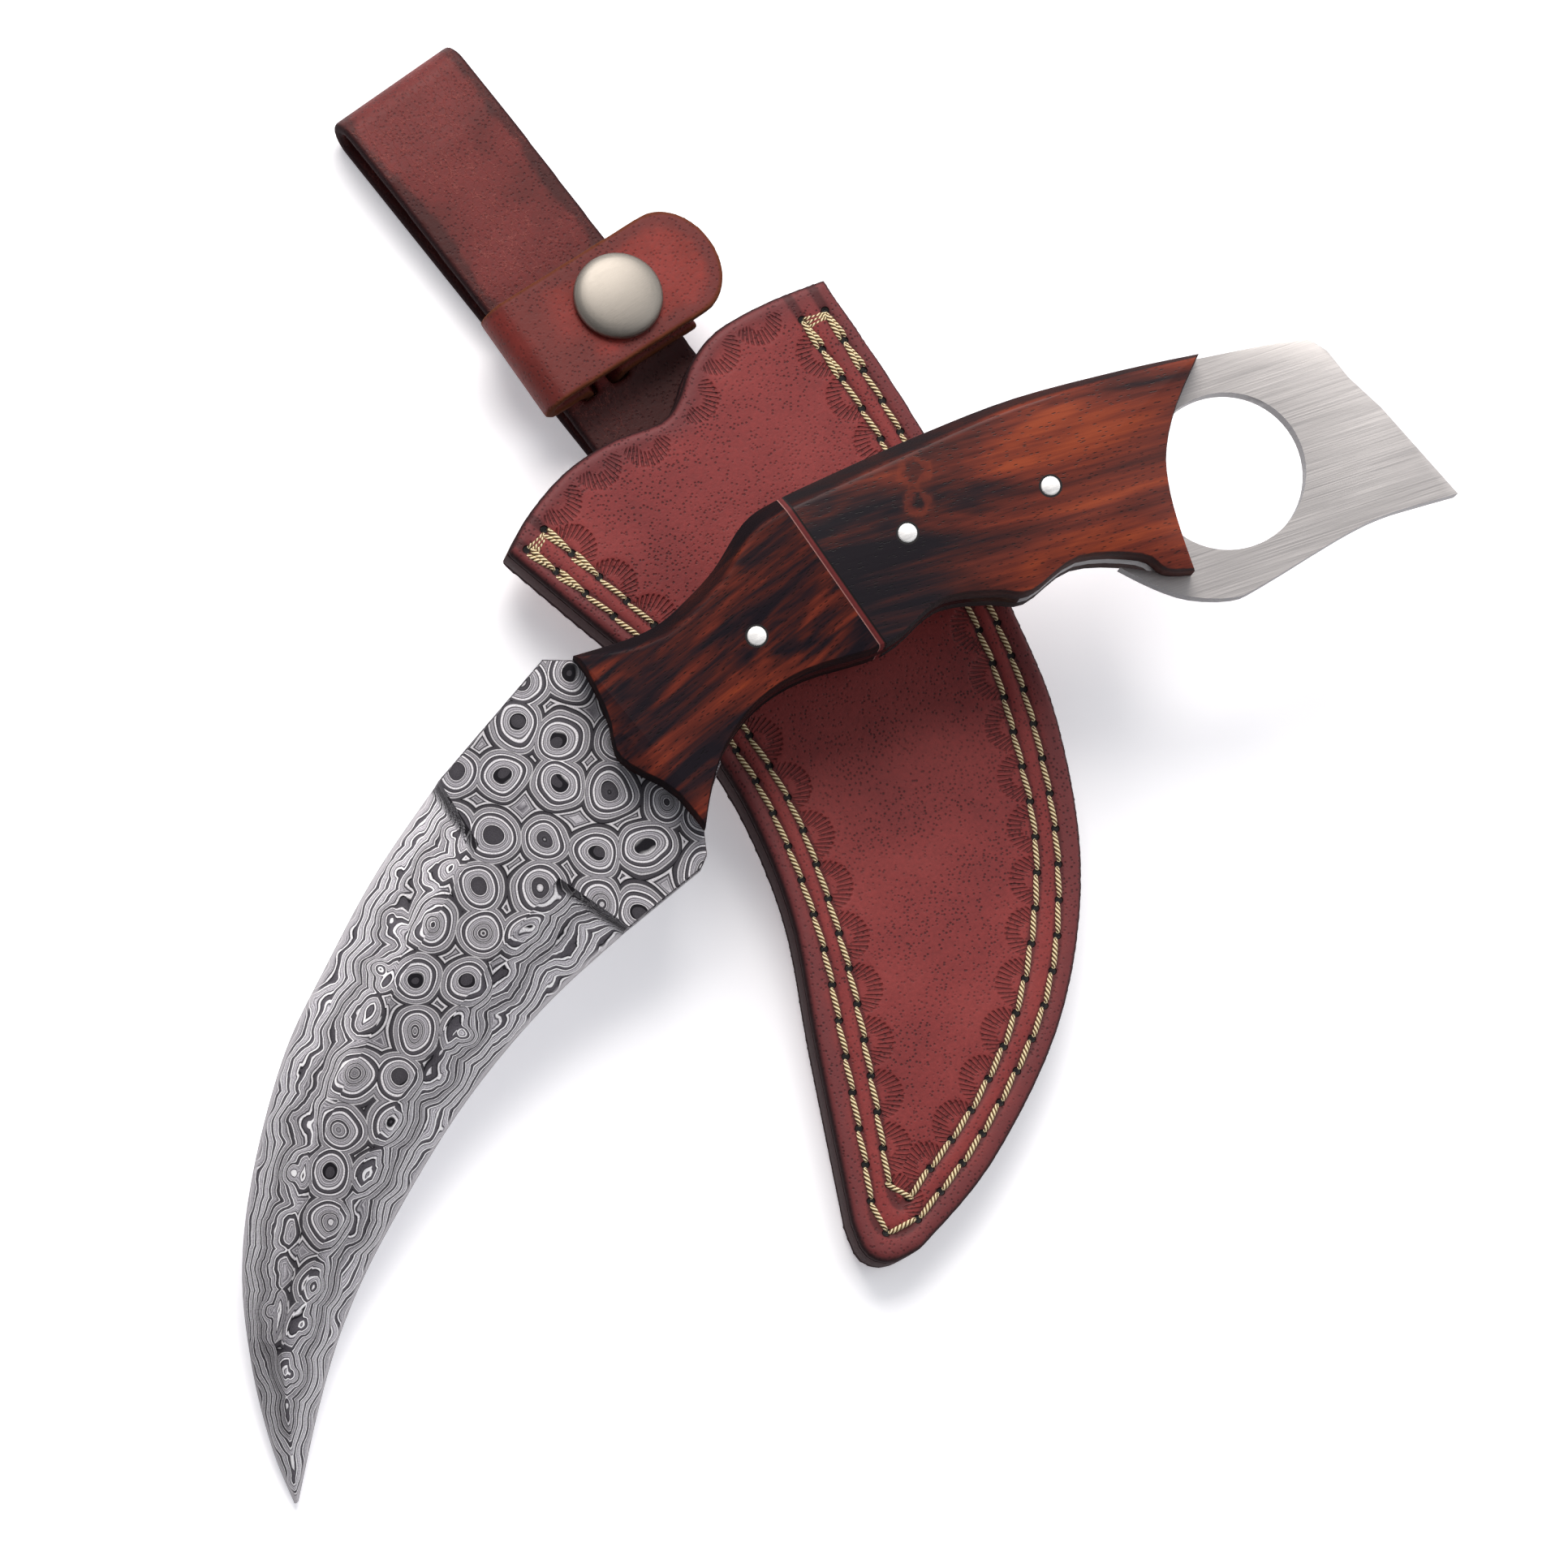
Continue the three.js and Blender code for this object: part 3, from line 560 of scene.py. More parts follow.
def rosewood(name, turn, gloss, tone_and_sheen_ends, band=0.13, knot=False):
    """Oiled and buffed rosewood: orange and blue-black bands along the grain, with short dark
    pores, under a low gloss."""
    material, add = new_material(name)
    local = local_mm(add, KNIFE)
    grain = add("Mapping", {"Vector": local, "Rotation": (0, 0, math.radians(turn))})
    bands_at = add("Mapping", {"Vector": grain, "Scale": (band / 5, band, band)})
    bands = add("TexNoise", {"Vector": bands_at, "Scale": 1.0, "Detail": 3.0, "Roughness": 0.55,
                             "Distortion": 0.8})
    streaks_at = add("Mapping", {"Vector": grain, "Scale": (0.06, 1.3, 0.6)})
    streaks = add("TexNoise", {"Vector": streaks_at, "Scale": 1.0, "Detail": 5.0,
                               "Roughness": 0.65, "Distortion": 0.4})
    blend = add("Math", {0: streaks, 1: 0.3, 2: add("Math", {0: bands, 1: 0.74},
                                                    operation="MULTIPLY")},
                operation="MULTIPLY_ADD")
    # Tone, and a painted sheen: the rear scale is made darker at its front end and lighter towards
    # the ring, where it catches the light; the front scale only gets a slightly darker tone.
    along = add("SeparateXYZ", {0: local}).outputs["X"]
    tone_and_sheen = add("MapRange", {"Value": along, "From Min": -2, "From Max": 30, "To Min": tone_and_sheen_ends[0],
                               "To Max": tone_and_sheen_ends[1]})
    blend = add("Math", {0: blend, 1: tone_and_sheen}, operation="ADD")
    wood = add("ValToRGB", {0: blend}, stops=[
        (0.4, "#19141a"), (0.46, "#2a191c"), (0.51, "#3f1d1a"), (0.56, "#53231c"),
        (0.61, "#652a1f"), (0.67, "#7a3320"), (0.75, "#914024")])
    if knot:
        # Two pin knots near the top edge: a red ring round a dark core.
        from_knot, from_smaller = (
            add("VectorMath", {0: local, 1: (*middle, SCALE_TOP)}, operation="DISTANCE")
            .outputs["Value"] for middle in KNOT_PLACES)
        from_smaller = add("Math", {0: from_smaller, 1: 0.6}, operation="ADD")
        from_knot = add("Math", {0: from_knot, 1: from_smaller}, operation="MINIMUM")
        torn = add("TexNoise", {"Vector": grain, "Scale": 0.6, "Detail": 4.0,
                                "Roughness": 0.6, "Distortion": 0.4})
        torn = add("Math", {0: torn, 1: 3.4, 2: from_knot}, operation="MULTIPLY_ADD")
        torn = add("Math", {0: torn, 1: -1.7}, operation="ADD")
        torn = add("Math", {0: torn, 1: 0.2}, operation="MULTIPLY")
        ring = add("ValToRGB", {0: torn}, stops=[
            (0.1, "#1c1417"), (0.25, "#2a1818"), (0.36, "#6a2a1e"), (0.5, "#7c3522"),
            (0.62, "#5b261d"), (0.75, "#331b1a")])
        near = add("MapRange", {"Value": torn, "From Min": 0.95, "From Max": 0.35,
                                "To Max": 0.5}, interpolation_type="SMOOTHSTEP")
        wood = add("Mix", {"Factor": near, "A": wood, "B": ring}, data_type="RGBA")
    pores_at = add("Mapping", {"Vector": grain, "Scale": (0.6, 2.4, 2.4)})
    pores = add("TexVoronoi", {"Vector": pores_at, "Scale": 1.0, "Randomness": 1.0})
    open_pore = add("MapRange", {"Value": pores, "From Min": 0.16, "From Max": 0.28,
                                 "To Min": 1, "To Max": 0})
    colour = add("Mix", {"Factor": add("Math", {0: open_pore, 1: 0.75}, operation="MULTIPLY"),
                         "A": wood, "B": linear("#0c090b")}, data_type="RGBA")
    # Painted shade: facets and walls are darkened, as they turn away from the light; the walls are
    # not buffed.
    above = add("Math", {0: add("SeparateXYZ", {0: local}).outputs["Z"]}, operation="ABSOLUTE")
    facet_shade = add("MapRange", {"Value": above, "From Min": SCALE_TOP - 0.1,
                             "From Max": SCALE_TOP - 0.6, "To Max": 0.85})
    colour = add("Mix", {"Factor": facet_shade, "A": colour, "B": linear("#150d10")},
                 data_type="RGBA")
    rough = add("MapRange", {"Value": streaks, "To Min": 0.3, "To Max": 0.5})
    rough = add("Math", {0: rough, 1: on_walls(add, 0.5)}, operation="ADD")
    relief = add("Math", {0: open_pore, 1: -0.02}, operation="MULTIPLY")
    bump = add("Bump", {"Height": relief, "Distance": MM, "Strength": 0.7})
    close_material(add, Base_Color=colour, Roughness=rough, Normal=bump, IOR=1.5,
                   Specular_IOR_Level=gloss)
    return material


def leather(name, mid, light, dark, edge, pores=0.6, wrinkle=0.0, stamped=False, edge_reach=5.0,
            cut="#230d10"):
    """Vegetable-tanned cowhide, dyed, waxed and burnished: a matt grain with hair pores, a darker
    rim, and almost black cut edges."""
    material, add = new_material(name)
    at = add("Mapping", {"Vector": add("TexCoord").outputs["Object"],
                         "Scale": (1 / MM, 1 / MM, 1 / MM)})
    cloud = add("TexNoise", {"Vector": at, "Scale": 0.07, "Detail": 4.0, "Roughness": 0.55})
    fibre = add("TexNoise", {"Vector": at, "Scale": 1.6, "Detail": 3.0, "Roughness": 0.6})
    hide = add("ValToRGB", {0: cloud}, stops=[(0.32, dark), (0.5, mid), (0.7, light)])
    mottled = add("MapRange", {"Value": fibre, "From Min": 0.3, "From Max": 0.7, "To Min": 0.86,
                               "To Max": 1.12})
    hide = add("VectorMath", {0: hide, "Scale": mottled}, operation="SCALE")

    # The edge attribute is the distance to the edge; on the belt loop and the strap it is also
    # lowered to paint shade, which the rim colour then draws.
    edge_and_shade = add("Attribute", attribute_name="edge").outputs["Fac"]
    uneven = add("Math", {0: cloud, 1: 6.0, 2: edge_and_shade}, operation="MULTIPLY_ADD")
    rim = add("MapRange", {"Value": uneven, "From Min": 3.5 + edge_reach, "From Max": 4.6,
                           "To Min": 0, "To Max": 0.75}, interpolation_type="SMOOTHSTEP")
    hide = add("Mix", {"Factor": rim, "A": hide, "B": linear(edge)}, data_type="RGBA")

    # Hair pores, about 0.2 mm wide and 0.7 mm apart: a little coarser than real, so they show.
    cells = add("TexVoronoi", {"Vector": at, "Scale": 1.4, "Randomness": 0.85})
    pore = add("MapRange", {"Value": cells, "From Min": 0.18, "From Max": 0.36, "To Min": 1,
                            "To Max": 0})
    patchy = add("MapRange", {"Value": cloud, "From Min": 0.42, "From Max": 0.6,
                              "To Min": pores, "To Max": pores * 0.6})
    pore = add("Math", {0: pore, 1: patchy}, operation="MULTIPLY")
    hide = add("Mix", {"Factor": pore, "A": hide, "B": linear("#2b1215")}, data_type="RGBA")
    grain = add("Math", {0: fibre, 1: 0.05}, operation="MULTIPLY")
    relief = add("Math", {0: pore, 1: -0.1, 2: grain}, operation="MULTIPLY_ADD")

    if wrinkle:
        # A net of fine pale creases, where the bent grain has lifted its dye.
        net_at = add("Mapping", {"Vector": at, "Scale": (0.7, 0.45, 0.6)})
        bend = add("TexNoise", {"Vector": net_at, "Scale": 1.6, "Detail": 3.0})
        net_at = add("VectorMath", {0: net_at, 1: add("VectorMath", {
            0: bend.outputs["Color"], "Scale": 0.9}, operation="SCALE")}, operation="ADD")
        net = add("TexVoronoi", {"Vector": net_at, "Scale": 1.0}, feature="DISTANCE_TO_EDGE")
        crease = add("MapRange", {"Value": net, "From Max": 0.05, "To Min": wrinkle, "To Max": 0})
        crease = add("Math", {0: crease, 1: add("MapRange", {
            "Value": cloud, "From Min": 0.42, "From Max": 0.58})}, operation="MULTIPLY")
        hide = add("Mix", {"Factor": crease, "A": hide, "B": linear("#93524a")},
                   data_type="RGBA")
        relief = add("Math", {0: crease, 1: 0.12, 2: relief}, operation="MULTIPLY_ADD")

    if stamped:
        # Half-sun stamps: lines between two arcs fan out from a point behind the stamp's centre.
        sun = add("UVMap", uv_map="stamp")
        split = add("SeparateXYZ", {0: sun})
        distance = add("VectorMath", {0: sun}, operation="LENGTH").outputs["Value"]
        behind = add("Math", {0: split.outputs["X"], 1: STAMP_POINT}, operation="ADD")
        angle = add("Math", {0: split.outputs["Y"], 1: behind}, operation="ARCTAN2")
        # 58 radians of the wave in each radian of the fan: a line every 6 degrees or so.
        ray = add("Math", {0: add("Math", {0: angle, 1: 58.0}, operation="MULTIPLY")},
                  operation="COSINE")
        ray = add("MapRange", {"Value": ray, "From Min": -0.2, "From Max": 0.7})
        ray = add("Math", {0: ray, 1: add("MapRange", {
            "Value": distance, "From Min": 1.4, "From Max": 2.0})}, operation="MULTIPLY")
        ray = add("Math", {0: ray, 1: add("MapRange", {
            "Value": distance, "From Min": 4.3, "From Max": 3.9})}, operation="MULTIPLY")
        ray = add("Math", {0: ray, 1: add("MapRange", {
            "Value": split.outputs["X"], "From Min": -0.2, "From Max": 0.4})},
            operation="MULTIPLY")
        # Darker in the stamped lines: the leather darkens where it is pressed, and painted shade in
        # the recesses.
        pressed = add("Math", {0: ray, 1: 0.45}, operation="MULTIPLY")
        hide = add("Mix", {"Factor": pressed, "A": hide, "B": linear("#351719")},
                   data_type="RGBA")
        relief = add("Math", {0: ray, 1: -0.3, 2: relief}, operation="MULTIPLY_ADD")

        # Awl holes: U counts stitches along a row and V is the distance from it in millimetres.
        row = add("SeparateXYZ", {0: add("UVMap", uv_map="row")})
        beside = add("Math", {0: row.outputs["Y"]}, operation="ABSOLUTE")
        # Darker along the row: the pressed groove, and painted shadow of the thread beside it.
        groove_and_shadow = add("MapRange", {"Value": beside, "From Min": 1.15, "From Max": 0.5,
                                  "To Min": 0, "To Max": 0.7}, interpolation_type="SMOOTHSTEP")
        hide = add("Mix", {"Factor": groove_and_shadow, "A": hide, "B": linear("#3a191b")},
                   data_type="RGBA")
        step = add("Math", {0: row.outputs["X"], 1: 0.5}, operation="ADD")
        step = add("Math", {0: add("Math", {0: step}, operation="FRACT"), 1: 0.5},
                   operation="SUBTRACT")
        step = add("Math", {0: step, 1: STITCH_PITCH / AWL_HOLE[0]}, operation="MULTIPLY")
        step = add("Math", {0: step, 1: 2.0}, operation="POWER")
        across = add("Math", {0: beside, 1: AWL_HOLE[1]}, operation="DIVIDE")
        across = add("Math", {0: across, 1: 2.0}, operation="POWER")
        # Painted shade: each awl hole is a black oval, the shade inside the hole, with a dent in
        # the bump.
        hole = add("MapRange", {"Value": add("Math", {0: step, 1: across}, operation="ADD"),
                                "From Min": 1.3, "From Max": 0.8})
        hide = add("Mix", {"Factor": hole, "A": hide, "B": linear("#0a0506")},
                   data_type="RGBA")
        relief = add("Math", {0: hole, 1: -0.6, 2: relief}, operation="MULTIPLY_ADD")

    burnt = add("MapRange", {"Value": edge_and_shade, "From Min": 0.75, "From Max": 0.2})
    colour = add("Mix", {"Factor": burnt, "A": hide, "B": linear(cut)}, data_type="RGBA")
    rough = add("MapRange", {"Value": fibre, "To Min": 0.42, "To Max": 0.66})
    rough = add("Math", {0: burnt, 1: 0.4, 2: rough}, operation="MULTIPLY_ADD")
    bump = add("Bump", {"Height": relief, "Distance": MM, "Strength": 0.9})
    close_material(add, Base_Color=colour, Roughness=rough, Normal=bump, IOR=1.48,
                   Specular_IOR_Level=0.24)
    return material


def waxed_thread(options):
    """Three-ply waxed linen thread: slanting plies, with painted highlights in cream on their
    crowns and painted shade in brown between.
    """
    material, add = new_material("twisted_waxed_linen")
    turns = add("SeparateXYZ", {0: add("UVMap", uv_map="twist")})
    lean = add("Math", {0: turns.outputs["X"], 1: 3.0}, operation="MULTIPLY")
    ply = add("Math", {0: turns.outputs["Y"], 1: 1 / 0.8, 2: lean}, operation="MULTIPLY_ADD")
    crown = add("Math", {0: add("Math", {0: ply, 1: TWO_PI}, operation="MULTIPLY")},
                operation="COSINE")
    fuzz = add("TexNoise", {"Vector": add("TexCoord").outputs["Object"], "Scale": 3500.0,
                            "Detail": 2.0})
    height = add("Math", {0: fuzz, 1: 0.7, 2: crown}, operation="MULTIPLY_ADD")
    shade_of = add("MapRange", {"Value": height, "From Min": -0.7, "From Max": 1.2})
    # Painted light and shade: lighter on each ply's crown, darker between the plies.
    colour = add("ValToRGB", {0: shade_of}, stops=[
        (0.0, "#38200e"), (0.28, "#80592e"), (0.5, "#cdb07a"), (0.8, "#f0e0b6")])
    bump = add("Bump", {"Height": add("Math", {0: crown, 1: 0.09}, operation="MULTIPLY"),
                        "Distance": MM, "Strength": 1.0})
    close_material(add, Base_Color=colour, Roughness=options.thread_roughness, Normal=bump)
    return material


def spacer_fibre():
    """Vulcanised fibre liner: dull red, with a painted highlight line in front and a painted shadow
    line behind.
    """
    material, add = new_material("vulcanised_fibre")
    local = local_mm(add, KNIFE)
    (x1, y1), (x2, y2) = SPACER_LINE
    long = math.hypot(x2 - x1, y2 - y1)
    normal = ((y1 - y2) / long, (x2 - x1) / long, 0)
    offset = add("VectorMath", {0: local, 1: normal}, operation="DOT_PRODUCT").outputs["Value"]
    offset = add("Math", {0: offset, 1: normal[0] * x1 + normal[1] * y1}, operation="SUBTRACT")
    across = add("MapRange", {"Value": offset, "From Min": -0.6, "From Max": 0.6})
    # Painted highlight on the front side, where the front scale's edge catches the light, and
    # painted shadow on the rear side, under the taller rear scale.
    lines = add("ValToRGB", {0: across}, stops=[
        (0.0, "#a8807a"), (0.12, "#7c4642"), (0.2, "#561d1e"), (0.6, "#672424"),
        (0.74, "#451718"), (0.8, "#0c0708")])
    fibre = add("TexNoise", {"Vector": local, "Scale": 2.2, "Detail": 4.0})
    mottled = add("MapRange", {"Value": fibre, "To Min": 0.7, "To Max": 1.25})
    colour = add("VectorMath", {0: lines, "Scale": mottled}, operation="SCALE")
    bump = add("Bump", {"Height": fibre, "Distance": 0.03 * MM, "Strength": 0.5})
    close_material(add, Base_Color=colour, Roughness=0.6, Normal=bump, Specular_IOR_Level=0.2)
    return material


def pin_glue():
    """Dark epoxy round a pin, levelled with the wood: a thin, slightly glossy black line."""
    material, add = new_material("dark_epoxy")
    specks = add("TexNoise", {"Vector": add("TexCoord").outputs["Object"], "Scale": 4000.0})
    colour = add("ValToRGB", {0: specks}, stops=[(0.3, "#080607"), (0.8, "#1c1415")])
    close_material(add, Base_Color=colour, Roughness=0.35)
    return material


# ---------------------------------------------------------------- options


class KnifeOptions(bpy.types.PropertyGroup):
    """Sizes and colours of the knife."""
    layer_depth: bpy.props.FloatProperty(
        name="Layer pair", description="Depth of one bright and one dark layer pair in the blade",
        default=0.3 * MM, min=0.05 * MM, subtype="DISTANCE", unit="LENGTH", precision=5)
    facet_width: bpy.props.FloatProperty(
        name="Facet width", description="Width of the facet along the back of the wooden scales",
        default=2.7 * MM, min=0.2 * MM, max=4 * MM, subtype="DISTANCE", unit="LENGTH", precision=5)
    pin_diameter: bpy.props.FloatProperty(
        name="Pin diameter", description="Diameter of the pins that hold the scales",
        default=3.3 * MM, min=1 * MM, subtype="DISTANCE", unit="LENGTH", precision=5)
    ring_colour: bpy.props.StringProperty(
        name="Ring steel", description="Colour of the satin steel tang and ring, as sRGB hex",
        default="#d8d3d0")


class SheathOptions(bpy.types.PropertyGroup):
    """Sizes and colours of the sheath."""
    stitch_pitch: bpy.props.FloatProperty(
        name="Stitch pitch", description="Distance from one awl hole to the next",
        default=STITCH_PITCH * MM, min=2 * MM, subtype="DISTANCE", unit="LENGTH", precision=5)
    thread_diameter: bpy.props.FloatProperty(
        name="Thread diameter", description="Diameter of the waxed thread",
        default=0.95 * MM, min=0.4 * MM, subtype="DISTANCE", unit="LENGTH", precision=5)
    thread_roughness: bpy.props.FloatProperty(
        name="Thread roughness", description="How matt the waxed thread is", default=0.7,
        min=0, max=1, subtype="FACTOR")
    stamp_spacing: bpy.props.FloatProperty(
        name="Stamp spacing", description="Distance between half-sun stamps",
        default=8.8 * MM, min=6 * MM, subtype="DISTANCE", unit="LENGTH", precision=5)
    edge_round: bpy.props.FloatProperty(
        name="Edge rounding", description="Radius that the leather's edges are rubbed down to",
        default=1.3 * MM, min=0.1 * MM, max=2 * MM, subtype="DISTANCE", unit="LENGTH", precision=5)
    sheath_colour: bpy.props.StringProperty(
        name="Sheath leather", description="Middle colour of the sheath leather, as sRGB hex",
        default="#7e302f")
    strap_colour: bpy.props.StringProperty(
        name="Strap leather", description="Middle colour of the snap strap, as sRGB hex",
        default="#76251d")
    loop_colour: bpy.props.StringProperty(
        name="Belt loop leather", description="Middle colour of the belt loop, as sRGB hex",
        default="#652523")


# ---------------------------------------------------------------- knife


def blade_rings():
    """Cross-sections of the blade, from under the grip to the point, in the knife's frame."""
    rings = []

    def section(outer, outer_flat, inner_flat, inner, flat_half, edge_half):
        edges = [np.asarray(p, float) for p in (outer, outer_flat, inner_flat, inner)]
        across = edges[3] - edges[0]
        across /= max(np.linalg.norm(across), 1e-6)
        soft = min(0.25, edge_half * 0.3)
        ends = [edges[0], edges[0] + soft * across, edges[1], (edges[1] + edges[2]) / 2, edges[2],
                edges[3] - soft * across, edges[3]]
        heights = [edge_half - soft, edge_half, flat_half, flat_half, flat_half, edge_half,
                   edge_half - soft]
        top = [(*p, h) for p, h in zip(ends, heights)]
        return top + [(x, y, -h) for x, y, h in reversed(top)]

    def between(line, position):
        span, share = int(position), position % 1
        return np.array(line[span]) * (1 - share) + np.array(line[span + 1]) * share

    for position in np.arange(0, len(RICASSO_OUTER) - 1, 0.25):
        outer, inner = (between(line, position) for line in (RICASSO_OUTER, RICASSO_INNER))
        rings.append(section(outer, outer * 0.7 + inner * 0.3, outer * 0.35 + inner * 0.65, inner,
                             TANG_HALF, TANG_HALF))
    rings.append(section(OUTER_SHOULDER, OUTER_FLAT[0], INNER_FLAT[0], INNER_SHOULDER,
                         TANG_HALF, TANG_HALF))
    lines = [spline(points) for points in (OUTER_EDGE, OUTER_FLAT, INNER_FLAT, INNER_EDGE)]
    lengths = [reach(line)[-1] for line in lines]
    shares = np.concatenate([PLUNGE * np.linspace(0.04, 1, 9), np.linspace(PLUNGE, 1, 90)[1:]])
    for t in shares:
        outer, inner = (walk(lines[k], [t * lengths[k]])[0] for k in (0, 3))
        beyond = max(0, (t - FLAT_SHARE) / (1 - FLAT_SHARE))
        across = (inner - outer) / max(np.linalg.norm(inner - outer), 1e-6) * 0.15
        if beyond == 0:
            flats = [walk(lines[k], [t / FLAT_SHARE * lengths[k]])[0] for k in (1, 2)]
        else:
            ridge = np.array(OUTER_FLAT[-1]) * (1 - beyond) + np.array(BLADE_POINT) * beyond
            flats = [ridge, ridge]
        spread = min(1, t / FLAT_SHARE)
        half = TANG_HALF * (1 - beyond) + EDGE_HALF * beyond
        run_out = max(0, 1 - t / PLUNGE) ** 2
        rings.append(section(outer, flats[0] - across * spread, flats[1] + across * spread, inner,
                             half, EDGE_HALF + (TANG_HALF - EDGE_HALF) * run_out))
    return rings


class KNIFE_OT_blade(bpy.types.Operator):
    """Forged blade with a flat between two grinds"""
    bl_idname = "ring_knife.blade"
    bl_label = "Blade"

    def execute(self, context):
        blade = skin("blade", blade_rings())
        place(blade, KNIFE)
        shade(blade, 4)
        finish(blade, damascus_steel(context.scene.knife_options), "knife", "damascus_blade",
               slot="damascus_steel")
        return {"FINISHED"}


class KNIFE_OT_tang(bpy.types.Operator):
    """Steel tang that ends in a finger ring"""
    bl_idname = "ring_knife.tang"
    bl_label = "Tang and finger ring"

    def execute(self, context):
        tang = cad_copy("tang_and_ring", "tang_with_ring")
        modify(tang, "BEVEL", width=0.45 * MM, segments=3, limit_method="ANGLE",
               angle_limit=math.radians(50), use_clamp_overlap=True, harden_normals=False)
        shade(tang, 12)
        steel = satin_steel("belt_finished_steel", KNIFE, context.scene.knife_options.ring_colour,
                            roughness=0.36, wall_shade=1.0)
        finish(tang, steel, "knife", "tang_with_ring", slot="satin_steel")
        return {"FINISHED"}


def joint_sides(outline):
    """Which sides of a grip outline face the spacer joint."""
    ends = np.array(SPACER_LINE)
    direction = (ends[1] - ends[0]) / np.linalg.norm(ends[1] - ends[0])
    side = np.roll(outline, -1, axis=0) - outline
    side /= np.linalg.norm(side, axis=1)[:, None]
    middle = (outline + np.roll(outline, -1, axis=0)) / 2 - ends[0]
    parallel = np.abs(side[:, 0] * direction[1] - side[:, 1] * direction[0]) < 0.02
    near = np.abs(middle[:, 0] * direction[1] - middle[:, 1] * direction[0]) < 1.6
    return parallel & near


def grip_slab(name, node, facet, grow, sign):
    """A wooden scale or spacer: a wall on the tang, a facet along its back, and a flat top."""
    outline = cap_outline(node, KNIFE)
    joint = joint_sides(outline)
    side = np.roll(outline, -1, axis=0) - outline
    outward_y = -side[:, 0] / np.linalg.norm(side, axis=1)
    side_x = outline[:, 0] + side[:, 0] / 2
    taper = np.interp(side_x, [-57, -44, 0, 54], [0.3, 1, 1, 0.35])
    width = np.where(outward_y > 0.5, facet * taper, CRISP_EDGE)
    drop = 0.75 * facet
    steps = [                       # share of the facet's width, share of its drop
        (0, 1.1), (0.02, 1.0), (0.25, 0.72), (0.6, 0.34), (0.9, 0.06), (1.0, 0.015), (1.25, 0)]
    rings = [ring_of(inset(outline, np.where(joint, -grow, 0)), sign * TANG_HALF)]
    for inward, down in steps:
        sides = np.where(joint, -grow, width * inward)
        rings.append(ring_of(inset(outline, sides), sign * (SCALE_TOP - drop * down)))
    slab = skin(name, rings)
    place(slab, KNIFE)
    shade(slab, 24)
    return slab


class KNIFE_OT_scales(bpy.types.Operator):
    """Wooden grip scales and the spacers between them, on both faces"""
    bl_idname = "ring_knife.scales"
    bl_label = "Grip scales and spacers"

    def execute(self, context):
        facet = context.scene.knife_options.facet_width / MM
        woods = {"front": rosewood("buffed_rosewood_front", -20, 0.08, (-0.02, 0), band=0.24),
                 "rear": rosewood("buffed_rosewood_rear", 3, 0.22, (-0.075, 0.125), knot=True)}
        fibre = spacer_fibre()
        for face, sign in (("upper", 1), ("lower", -1)):
            for end, wood in woods.items():
                node = f"{end}_scale_{face}"
                scale = grip_slab(f"{end}_scale_{face}_wood", node, facet, 0.3, sign)
                finish(scale, wood, "knife", node, slot="rosewood")
            node = f"spacer_{face}"
            spacer = grip_slab(f"spacer_{face}_fibre", node, facet, 0.0, sign)
            finish(spacer, fibre, "knife", node, slot="fibre_spacer")
        return {"FINISHED"}


class KNIFE_OT_pins(bpy.types.Operator):
    """Three pins through the scales, each in a thin ring of dark glue"""
    bl_idname = "ring_knife.pins"
    bl_label = "Pins"

    def execute(self, context):
        steel = satin_steel("polished_pin_steel", KNIFE, "#fbfaf8", roughness=0.5,
                            reach_mm=2, grain_mm=0.4)
        glue = pin_glue()
        radius = context.scene.knife_options.pin_diameter / MM / 2
        for node, (x, y) in PIN_PLACES.items():
            pin = added(bpy.ops.mesh.primitive_cylinder_add, vertices=40, radius=radius,
                        depth=2 * (SCALE_TOP + 0.12))
            pin.name = pin.data.name = f"{node}_steel"
            modify(pin, "BEVEL", width=0.3, segments=3, limit_method="ANGLE")
            pin.data.materials.append(steel)
            ring = added(bpy.ops.mesh.primitive_cylinder_add, vertices=40,
                         radius=radius + GLUE_LINE, depth=2 * (SCALE_TOP + 0.015))
            ring.data.materials.append(glue)
            pin = join(pin.name, [pin, ring])
            place(pin, KNIFE @ Matrix.Translation((x * MM, y * MM, 0)))
            shade(pin, 40)
            finish(pin, steel, "knife", node, slot="pin_steel")
        return {"FINISHED"}


# ---------------------------------------------------------------- sheath


def row_samples(points, pitch):
    """A stitch row as even points with directions, and how many stitches it has."""
    line = spline(points)
    total = reach(line)[-1]
    count = round(total / pitch)
    even = walk(line, np.linspace(0, total, int(total / 0.2)))
    return even, directions(even), count, total


def stamp_places(spacing):
    """Where the half-sun stamps are struck, and which way each fan opens."""
    found = []
    # Points, room before and after, pitch, distance inwards, and the side that is inwards.
    rows = ((STITCH_ROWS["inner"], 5.5, 3, spacing, 0.6, 1),
            (THROAT, 12, 14, 1.12 * spacing, 2.4, -1))
    for points, before, after, pitch, offset, left in rows:
        line = spline(points)
        along = np.arange(before, reach(line)[-1] - after, pitch)
        ahead = walk(line, along + 0.5) - walk(line, along - 0.5)
        ahead /= np.linalg.norm(ahead, axis=1)[:, None]
        inwards = left * np.column_stack([-ahead[:, 1], ahead[:, 0]])
        found.append(np.hstack([walk(line, along) + offset * inwards, inwards]))
    return np.vstack(found)


